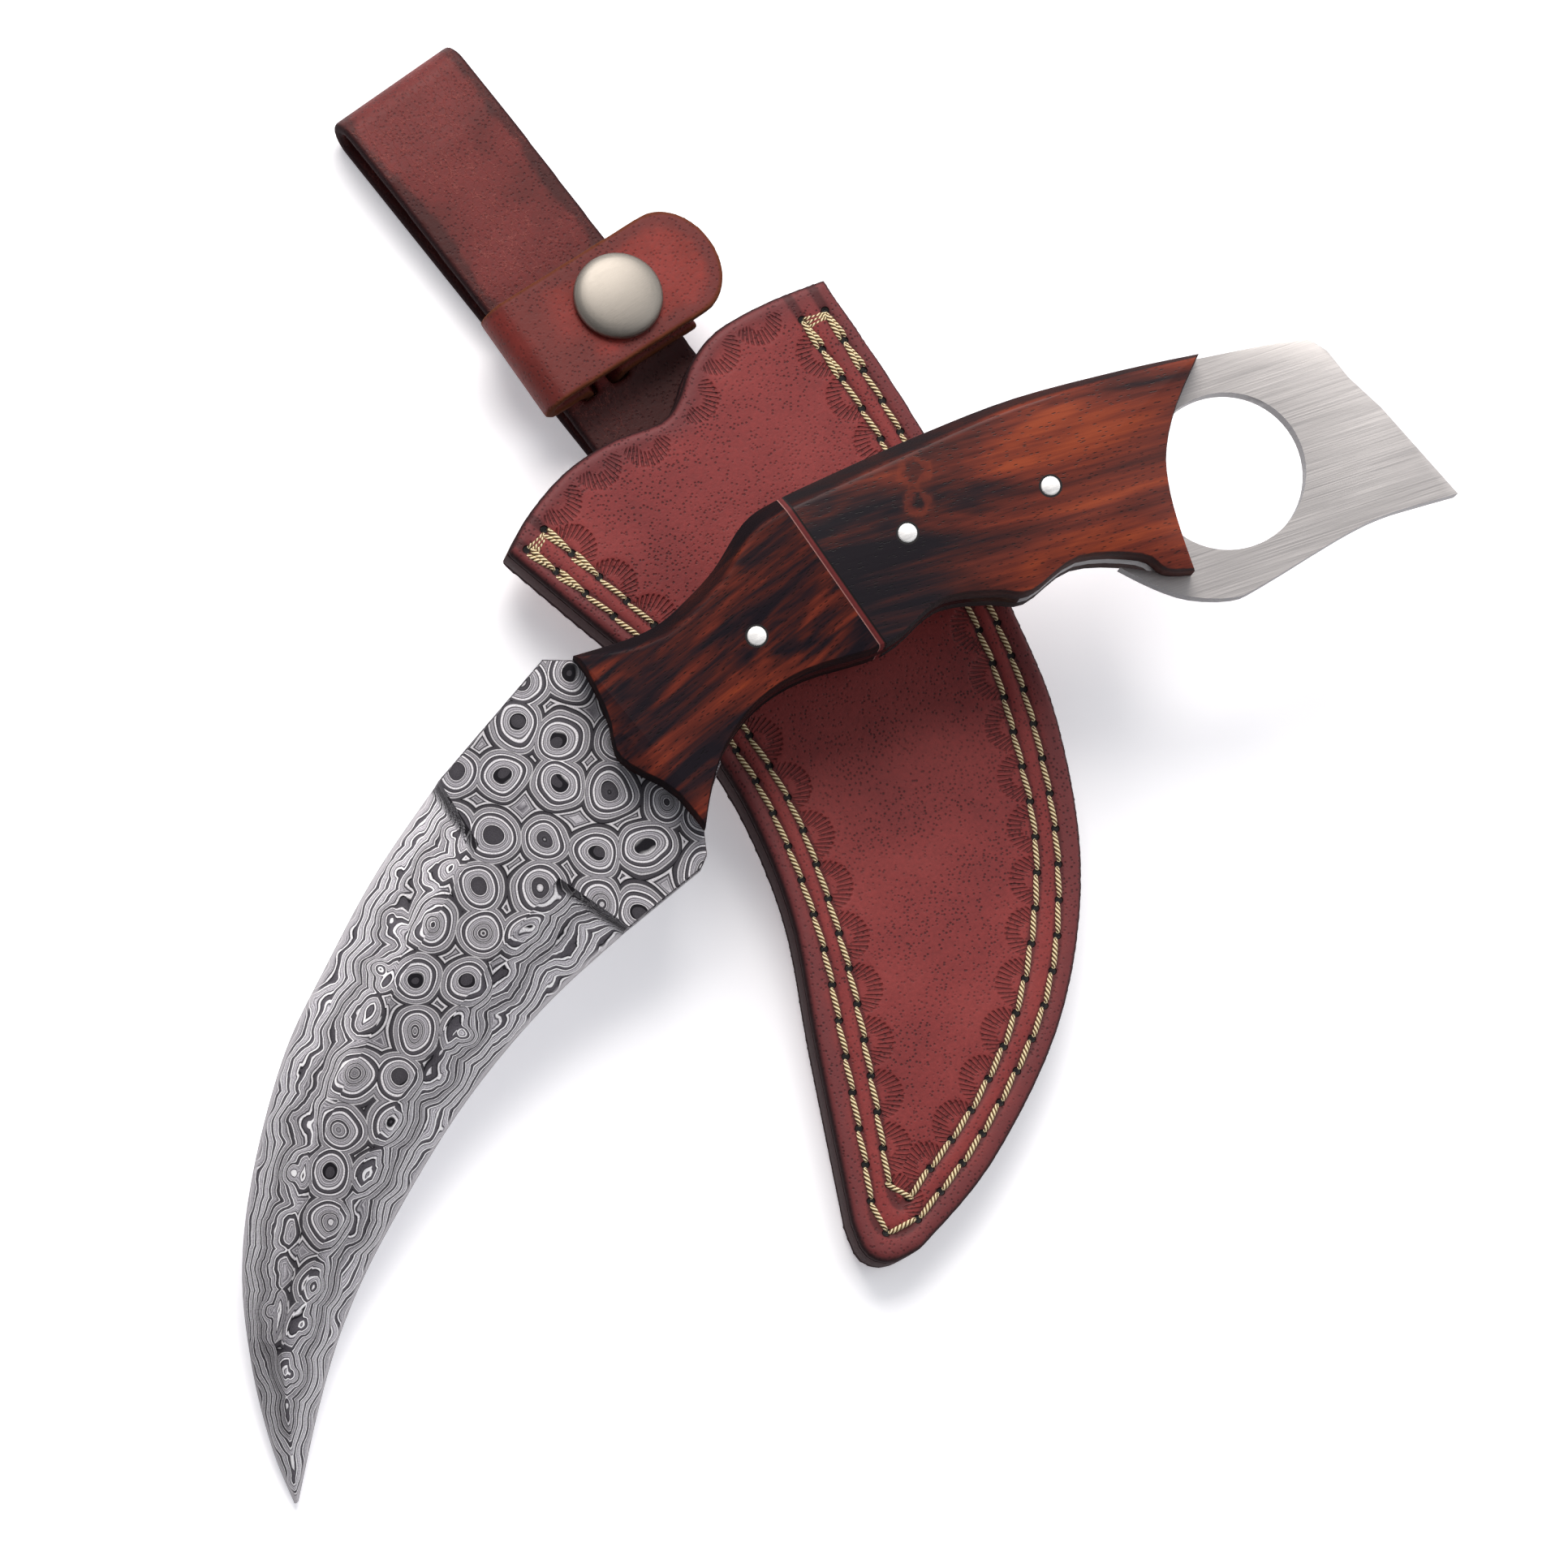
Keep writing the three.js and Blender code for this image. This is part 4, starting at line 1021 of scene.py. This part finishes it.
def leather_panel(name, inner_z, face_z, options, stamps=None):
    """A leather panel whose face is rubbed round at the edge and pressed in along the stitching."""
    outline = cap_outline("sheath_back_panel", SHEATH)
    panel = skin(name, [ring_of(outline, height) for height in sorted((inner_z, face_z))])
    modify(panel, "REMESH", mode="VOXEL", voxel_size=voxels(0.62))
    points = points_of(panel)
    samples = close_samples(outline)
    _, edge = nearest(samples, points)
    rows = [row_samples(row, options.stitch_pitch / MM) for row in STITCH_ROWS.values()]
    row_points = np.vstack([row[0] for row in rows])
    _, beside = nearest(row_points, points)
    share = np.clip((points[:, 2] - inner_z) / (face_z - inner_z), 0, 1)
    radius = options.edge_round / MM
    inside = np.minimum(edge, radius)
    sunk = radius - np.sqrt(np.maximum(radius ** 2 - (radius - inside) ** 2, 0))
    # The thread pulls a narrow groove and a wide, shallow one.
    sunk += 0.4 * np.exp(-(beside / 0.75) ** 2) + 0.1 * np.exp(-(beside / 2.4) ** 2)
    if stamps is not None:
        number, distance = nearest(stamps[:, :2], points)
        offset = points[:, :2] - stamps[number, :2]
        fan = np.clip(np.sum(offset * stamps[number, 2:], axis=1) / 0.8, 0, 1)
        sunk += 0.16 * fan * np.clip((STAMP_RADIUS - distance) / 0.6, 0, 1)
    sunk = np.minimum(sunk, abs(face_z - inner_z) - 0.3)
    points[:, 2] -= np.sign(face_z - inner_z) * share * sunk
    set_points(panel, points)
    store(panel, "edge", edge)

    corners, face, middles = face_corners(panel)
    number, _ = nearest(row_points, middles)
    spots = []
    for even, along, count, total in rows:
        counted = np.linspace(0, count, len(even))
        spots.append(np.column_stack([even, along, counted, np.full(len(even), count / total)]))
    spot = np.vstack(spots)[number][face]
    offset = corners[:, :2] - spot[:, :2]
    step = np.sum(offset * spot[:, 2:4], axis=1)
    side = spot[:, 2] * offset[:, 1] - spot[:, 3] * offset[:, 0]
    set_uv(panel, "row", np.column_stack([spot[:, 4] + step * spot[:, 5], side]))
    if stamps is None:
        set_uv(panel, "stamp", np.full((len(corners), 2), 50.0))
    else:
        number, _ = nearest(stamps[:, :2], middles)
        spot = stamps[number][face]
        offset = corners[:, :2] - spot[:, :2]
        opening = np.sum(offset * spot[:, 2:], axis=1)
        side = spot[:, 2] * offset[:, 1] - spot[:, 3] * offset[:, 0]
        hidden = corners[:, 2] < (inner_z + face_z) / 2
        set_uv(panel, "stamp", np.column_stack([np.where(hidden, 50, opening), side]))
    place(panel, SHEATH)
    shade(panel, 60)
    return panel


class KNIFE_OT_sheath(bpy.types.Operator):
    """Two leather panels and the welt between them"""
    bl_idname = "ring_knife.sheath"
    bl_label = "Sheath panels and welt"

    def execute(self, context):
        options = context.scene.sheath_options
        hide = leather("burnished_bridle_leather", options.sheath_colour, "#863634", "#742b2b",
                       "#633032", pores=0.75, stamped=True)
        stamps = stamp_places(options.stamp_spacing / MM)
        front = leather_panel("front_panel_leather", SHEATH_TOP - PANEL, SHEATH_TOP, options,
                              stamps)
        finish(front, hide, "sheath", "sheath_front_panel", slot="sheath_leather")
        back = leather_panel("back_panel_leather", PANEL, 0, options)
        finish(back, hide, "sheath", "sheath_back_panel", slot="sheath_leather")

        welt = cad_copy("welt_leather", "sheath_welt")
        middle = SHEATH @ Matrix.Translation((0, 0, SHEATH_TOP / 2 * MM))
        swell = middle @ Matrix.Scale(WELT_FILL, 4, (0, 0, 1)) @ middle.inverted()
        welt.data.transform(swell)
        modify(welt, "BEVEL", width=0.35 * MM, segments=2, limit_method="ANGLE",
               angle_limit=math.radians(60))
        store(welt, "edge", np.full(len(welt.data.vertices), 0.45))
        shade(welt, 40)
        core = leather("burnished_leather_core", "#5a2c2b", "#6b3533", "#43201f", "#2a1517",
                       pores=0.3)
        finish(welt, core, "sheath", "sheath_welt", slot="sheath_leather")
        return {"FINISHED"}


def stitch_shape(length, radius):
    """One stitch, lying along X, whose ends dip into the leather."""
    angle = np.linspace(0, TWO_PI, 8, endpoint=False)
    rings = []
    for share, fat in ((-1, 0.5), (-0.86, 0.86), (-0.5, 1.02), (0, 1.05), (0.5, 1.02),
                       (0.86, 0.86), (1, 0.5)):
        x = share * length / 2
        dip = 0.75 * radius * abs(share) ** 5
        rings.append(np.column_stack([
            np.full(8, x), fat * radius * np.cos(angle), fat * radius * np.sin(angle) - dip]))
    stitch = skin("stitch", rings)
    corners, face, middles = face_corners(stitch)
    around = np.arctan2(middles[:, 2], middles[:, 1])[face]
    beyond = np.arctan2(corners[:, 2], corners[:, 1]) - around
    beyond = (beyond + math.pi) % TWO_PI - math.pi
    set_uv(stitch, "twist", np.column_stack([(around + beyond) / TWO_PI, corners[:, 0]]))
    for polygon in stitch.data.polygons:
        polygon.use_smooth = True
    return stitch


def sewn(name, shape, places, face):
    """One mesh of a stitch's copies, each at a place and a heading, on one face of the leather."""
    over = Matrix.Rotation(0 if face > 0 else math.pi, 4, "X")
    made = []
    for middle, heading in places:
        one = bpy.data.objects.new(shape.name, shape.data.copy())
        bpy.context.scene.collection.objects.link(one)
        one.data.transform(Matrix.Translation(middle) @ Matrix.Rotation(heading, 4, "Z") @ over)
        made.append(one)
    bpy.data.objects.remove(shape)
    return join(name, made)


def stitch_row(name, points, height, options, face=1, doubled=True):
    """A row of stitches, each a little askew between its two holes."""
    pitch = options.stitch_pitch / MM
    even, _, count, total = row_samples(points, pitch)
    holes = walk(even, np.linspace(0, total, count + 1))
    shape = stitch_shape(total / count * 0.94, options.thread_diameter / MM / 2)
    places = []
    wobble = np.random.default_rng(7)
    for number, (here, after) in enumerate(zip(holes, holes[1:])):
        heading = math.atan2(after[1] - here[1], after[0] - here[0])
        middle = (here + after) / 2
        lean = math.radians(5 + 1.5 * wobble.uniform(-1, 1))
        turns = [lean]
        if doubled and number in (0, 1, count - 2, count - 1):
            turns = [lean + math.radians(5), -lean]
        for layer, turn in enumerate(turns):
            side = 0.28 * (2 * layer - len(turns) + 1)
            spot = (middle[0] - side * math.sin(heading), middle[1] + side * math.cos(heading),
                    height + face * 0.12 * layer)
            places.append((spot, heading + turn))
    return sewn(name, shape, places, face)


def end_whips(name, height, options, face=1):
    """Short turns of thread that bind the ends of the two rows together."""
    shape = stitch_shape(4.2, options.thread_diameter / MM / 2 * 0.85)
    outer, inner = (spline(STITCH_ROWS[row]) for row in ("outer", "inner"))
    places = []
    for first, second in ((outer[0], inner[0]), (outer[-1], inner[-1])):
        middle = (first + second) / 2
        heading = math.atan2(second[1] - first[1], second[0] - first[0])
        for turn in range(3):
            spot = (middle[0], middle[1] - 0.2 - 0.6 * turn, height)
            places.append((spot, heading + 0.12 * (turn - 1)))
    return sewn(name, shape, places, face)


class KNIFE_OT_stitching(bpy.types.Operator):
    """Hand stitching on both faces of the sheath and on the belt loop"""
    bl_idname = "ring_knife.stitching"
    bl_label = "Stitching"

    def execute(self, context):
        options = context.scene.sheath_options
        thread = waxed_thread(options)
        for face, side, height in ((1, "needle", SHEATH_TOP - 0.42), (-1, "bobbin", 0.42)):
            for row, points in STITCH_ROWS.items():
                stitches = stitch_row(f"{side}_stitches_{row}", points, height, options, face)
                if row == "inner":
                    whips = end_whips("whips", height, options, face)
                    stitches = join(stitches.name, [stitches, whips])
                place(stitches, SHEATH)
                finish(stitches, thread, "sheath", f"{side}_thread_{row}", slot="waxed_thread")
        loop = stitch_row("belt_loop_stitches", LOOP_ROW, 0.48, options, face=-1, doubled=False)
        place(loop, Matrix.Translation(SHEATH_ORIGIN))
        finish(loop, thread, "sheath", "belt_loop_thread", slot="waxed_thread")
        return {"FINISHED"}


# ---------------------------------------------------------------- belt loop, strap and snap


class KNIFE_OT_belt_loop(bpy.types.Operator):
    """Belt loop: a leather strip folded double, with two slits for the snap strap"""
    bl_idname = "ring_knife.belt_loop"
    bl_label = "Belt loop"

    def execute(self, context):
        loop = cad_copy("belt_loop_leather", "belt_loop")
        modify(loop, "REMESH", mode="VOXEL", voxel_size=voxels(0.5 * MM))
        modify(loop, "SMOOTH", factor=0.5, iterations=3)
        points = points_of(loop)
        middle = (LOOP_LOW.x + LOOP_HIGH.x) / 2
        half = (LOOP_HIGH.x - LOOP_LOW.x) / 2
        edge = (half - np.abs(points[:, 0] - middle)) / MM
        # Painted shadow: the end by the throat, in the shade between the strap and the sheath, is
        # darkened.
        painted_shade_reach = (points[:, 1] - SHEATH_ORIGIN.y) / MM - 9
        store(loop, "edge", np.minimum(edge, np.maximum(0.9, 0.9 + painted_shade_reach)))
        shade(loop, 60)
        colour = context.scene.sheath_options.loop_colour
        hide = leather("folded_strap_leather", colour, "#702d2b", "#531f1c", "#341413", pores=0.6,
                       wrinkle=0.4, edge_reach=2.4)
        finish(loop, hide, "sheath", "belt_loop", slot="loop_leather")
        return {"FINISHED"}


class KNIFE_OT_strap(bpy.types.Operator):
    """Snap strap: threaded through the belt loop and folded over"""
    bl_idname = "ring_knife.strap"
    bl_label = "Snap strap"

    def execute(self, context):
        base = cad_copy("base", "strap_base")
        flap = cad_copy("flap", "strap_flap")
        # A block closes the gap between the two ends at the fold, before they are made one.
        bridge = added(bpy.ops.mesh.primitive_cube_add, size=1)
        bridge.data.transform(Matrix.Translation((-11.7, 0, 8.5))
                              @ Matrix.Diagonal((1.8, 19.4, 1.85, 1)))
        place(bridge, STRAP)
        strap = join("snap_strap_leather", [base, flap, bridge])
        modify(strap, "REMESH", mode="VOXEL", voxel_size=voxels(0.42 * MM))
        modify(strap, "SMOOTH", factor=0.5, iterations=3)
        to_strap = STRAP.inverted()
        local = np.array([to_strap @ vertex.co for vertex in strap.data.vertices]) / MM
        # Painted shade: darker on top towards the fold, which turns away from the light.
        painted_shade_reach = np.maximum(1.6, 0.28 * (local[:, 0] + 13.5))
        beside = np.minimum(STRAP_HALF - np.abs(local[:, 1]),
                            np.where(local[:, 2] > 8, painted_shade_reach, 9))
        round_start, round_length = STRAP_ROUND
        end_x = np.maximum(local[:, 0] - round_start, 0) / round_length
        end = round_length * (1 - np.hypot(end_x, local[:, 1] / STRAP_HALF))
        store(strap, "edge", np.where((end_x > 0) & (local[:, 2] > 12), end, beside))
        shade(strap, 60)
        colour = context.scene.sheath_options.strap_colour
        hide = leather("oiled_strap_leather", colour, "#86302a", "#601c16", "#5c2421", pores=0.6,
                       edge_reach=3.5, cut="#5e3019")
        strap.data.materials.append(hide)
        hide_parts("strap_base", "strap_flap")
        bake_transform(strap)
        return {"FINISHED"}


def turned(name, profile):
    """A turned shape from its profile of radius and height, round the snap's axis."""
    piece = skin(name, [circle(max(radius, 0.02), height) for radius, height in profile])
    place(piece, STRAP @ Matrix.Translation((SNAP_PLACE * MM, 0, 0)))
    shade(piece, 35)
    return piece


class KNIFE_OT_snap(bpy.types.Operator):
    """Nickel-plated snap: cap and socket on the flap, stud and eyelet on the base"""
    bl_idname = "ring_knife.snap"
    bl_label = "Snap fastener"

    def execute(self, context):
        nickel = satin_steel("brushed_nickel_plate", STRAP, "#938d85", roughness=0.48,
                             reach_mm=6, grain_mm=0.12)
        rim = 16.85                 # the flap's face, from the floor
        cap = turned("snap_cap_shell", [
            (0, 13.6), (1.25, 13.6), (1.3, 13.7), (1.3, rim), (6.9, rim), (7.35, rim + 0.1),
            (7.5, rim + 0.4), (7.48, rim + 0.75), (7.3, rim + 1.15), (6.9, rim + 1.5),
            (6.2, rim + 1.8), (5.2, rim + 2.02), (4, rim + 2.19), (2.6, rim + 2.31),
            (1.3, rim + 2.38), (0, rim + 2.4)])
        finish(cap, nickel, "strap_flap", "snap_cap", slot="nickel")
        for node, body in (("snap_socket", "strap_flap"), ("snap_stud", "sheath"),
                           ("snap_eyelet", "sheath")):
            part = cad_copy(f"{node}_shell", node)
            modify(part, "BEVEL", width=0.12 * MM, segments=2, limit_method="ANGLE",
                   angle_limit=math.radians(35))
            shade(part, 30)
            finish(part, nickel, body, node, slot="nickel")
        return {"FINISHED"}


# ---------------------------------------------------------------- stage


def area_light(name, position, target, size, power, colour="#ffffff"):
    """A soft square lamp that faces a point."""
    lamp = bpy.data.lights.new(name, "AREA")
    lamp.size, lamp.energy, lamp.color = size, power, linear(colour)[:3]
    holder = bpy.data.objects.new(name, lamp)
    bpy.context.scene.collection.objects.link(holder)
    holder.location = position
    holder.rotation_euler = (Vector(target) - Vector(position)).to_track_quat("-Z", "Y").to_euler()


class KNIFE_OT_stage(bpy.types.Operator):
    """Pale floor, soft lamps and the camera"""
    bl_idname = "ring_knife.stage"
    bl_label = "Floor, lamps and camera"

    def execute(self, context):
        scene = context.scene
        floor = added(bpy.ops.mesh.primitive_plane_add, size=6, location=(0, 0, -0.2 * MM))
        floor.name = "floor"
        paper, add = new_material("white_paper_floor")
        mottle = add("TexNoise", {"Vector": add("TexCoord").outputs["Object"], "Scale": 3.0})
        # Lit from behind as well, so that it stays white in the shade.
        close_material(
            add, Base_Color=add("ValToRGB", {0: mottle}, stops=[(0, "#f6f6f8"), (1, "#fafafc")]),
            Roughness=0.9, Emission_Color=linear("#fbfaff"), Emission_Strength=0.3)
        floor.data.materials.append(paper)

        # A pale room, brighter towards the window.
        world = bpy.data.worlds.new("soft_room")
        scene.world = world
        world.use_nodes = True
        add = partial(add_node, world.node_tree)
        towards = add("TexCoord").outputs["Generated"]
        sky = add("ValToRGB", {0: add("SeparateXYZ", {0: towards}).outputs["Z"]}, stops=[
            (0.0, "#e6e9f0"), (0.4, "#ffffff"), (0.8, "#e0e2e8"), (1.0, "#a9abb1")])
        facing = add("VectorMath", {0: towards, 1: (0.909, 0.416, 0)},
                     operation="DOT_PRODUCT").outputs["Value"]
        bright = add("Math", {0: facing, 1: 0.5, 2: 0.62}, operation="MULTIPLY_ADD")
        room = world.node_tree.nodes["Background"]
        world.node_tree.links.new(sky.outputs["Color"], room.inputs["Color"])
        world.node_tree.links.new(bright.outputs["Value"], room.inputs["Strength"])
        target = (0, -10 * MM, 10 * MM)
        area_light("window", (0.36, 0.62, 0.9), target, 0.7, 13.0, "#fffaf6")
        area_light("side", (0.62, -0.4, 0.95), target, 0.6, 1.5)

        # A long lens looks down from a metre above, a little off the upright.
        aim = SHEATH_ORIGIN + Vector((-14.83, -62.18, 10)) * MM
        back = Vector((-0.2799, -0.1084, 1)).normalized()
        up = Vector((0.62717, 0.77889, 0))
        right = up.cross(back).normalized()
        lens = bpy.data.cameras.new("camera")
        lens.sensor_width, lens.lens = 36, 139.75
        lens.clip_start, lens.clip_end = 0.05, 20
        camera = bpy.data.objects.new("camera", lens)
        scene.collection.objects.link(camera)
        camera.matrix_world = axes_matrix(right, back.cross(right), back, aim + back)
        scene.camera = camera
        scene.view_settings.view_transform = "Standard"
        return {"FINISHED"}


# ---------------------------------------------------------------- panel and registration


OPERATORS = (KNIFE_OT_blade, KNIFE_OT_tang, KNIFE_OT_scales, KNIFE_OT_pins, KNIFE_OT_sheath,
             KNIFE_OT_stitching, KNIFE_OT_belt_loop, KNIFE_OT_strap, KNIFE_OT_snap, KNIFE_OT_stage)


class KNIFE_PT_panel(bpy.types.Panel):
    """Lists the steps that build the knife and its sheath"""
    bl_idname = "KNIFE_PT_panel"
    bl_label = "Knife and sheath"
    bl_space_type = "VIEW_3D"
    bl_region_type = "UI"
    bl_category = "Knife"

    def draw(self, context):
        for group in (context.scene.knife_options, context.scene.sheath_options):
            for name in group.bl_rna.properties.keys():
                if name not in ("rna_type", "name"):
                    self.layout.prop(group, name)
        for operator in OPERATORS:
            self.layout.operator(operator.bl_idname)


CLASSES = (KnifeOptions, SheathOptions, *OPERATORS, KNIFE_PT_panel)


def register():
    for one in CLASSES:
        bpy.utils.register_class(one)
    bpy.types.Scene.knife_options = bpy.props.PointerProperty(type=KnifeOptions)
    bpy.types.Scene.sheath_options = bpy.props.PointerProperty(type=SheathOptions)


def unregister():
    del bpy.types.Scene.knife_options, bpy.types.Scene.sheath_options
    for one in reversed(CLASSES):
        bpy.utils.unregister_class(one)


def main():
    register()
    for operator in OPERATORS:
        step = operator.bl_idname.split(".")[1]
        getattr(bpy.ops.ring_knife, step)()


if __name__ == "__main__":
    main()
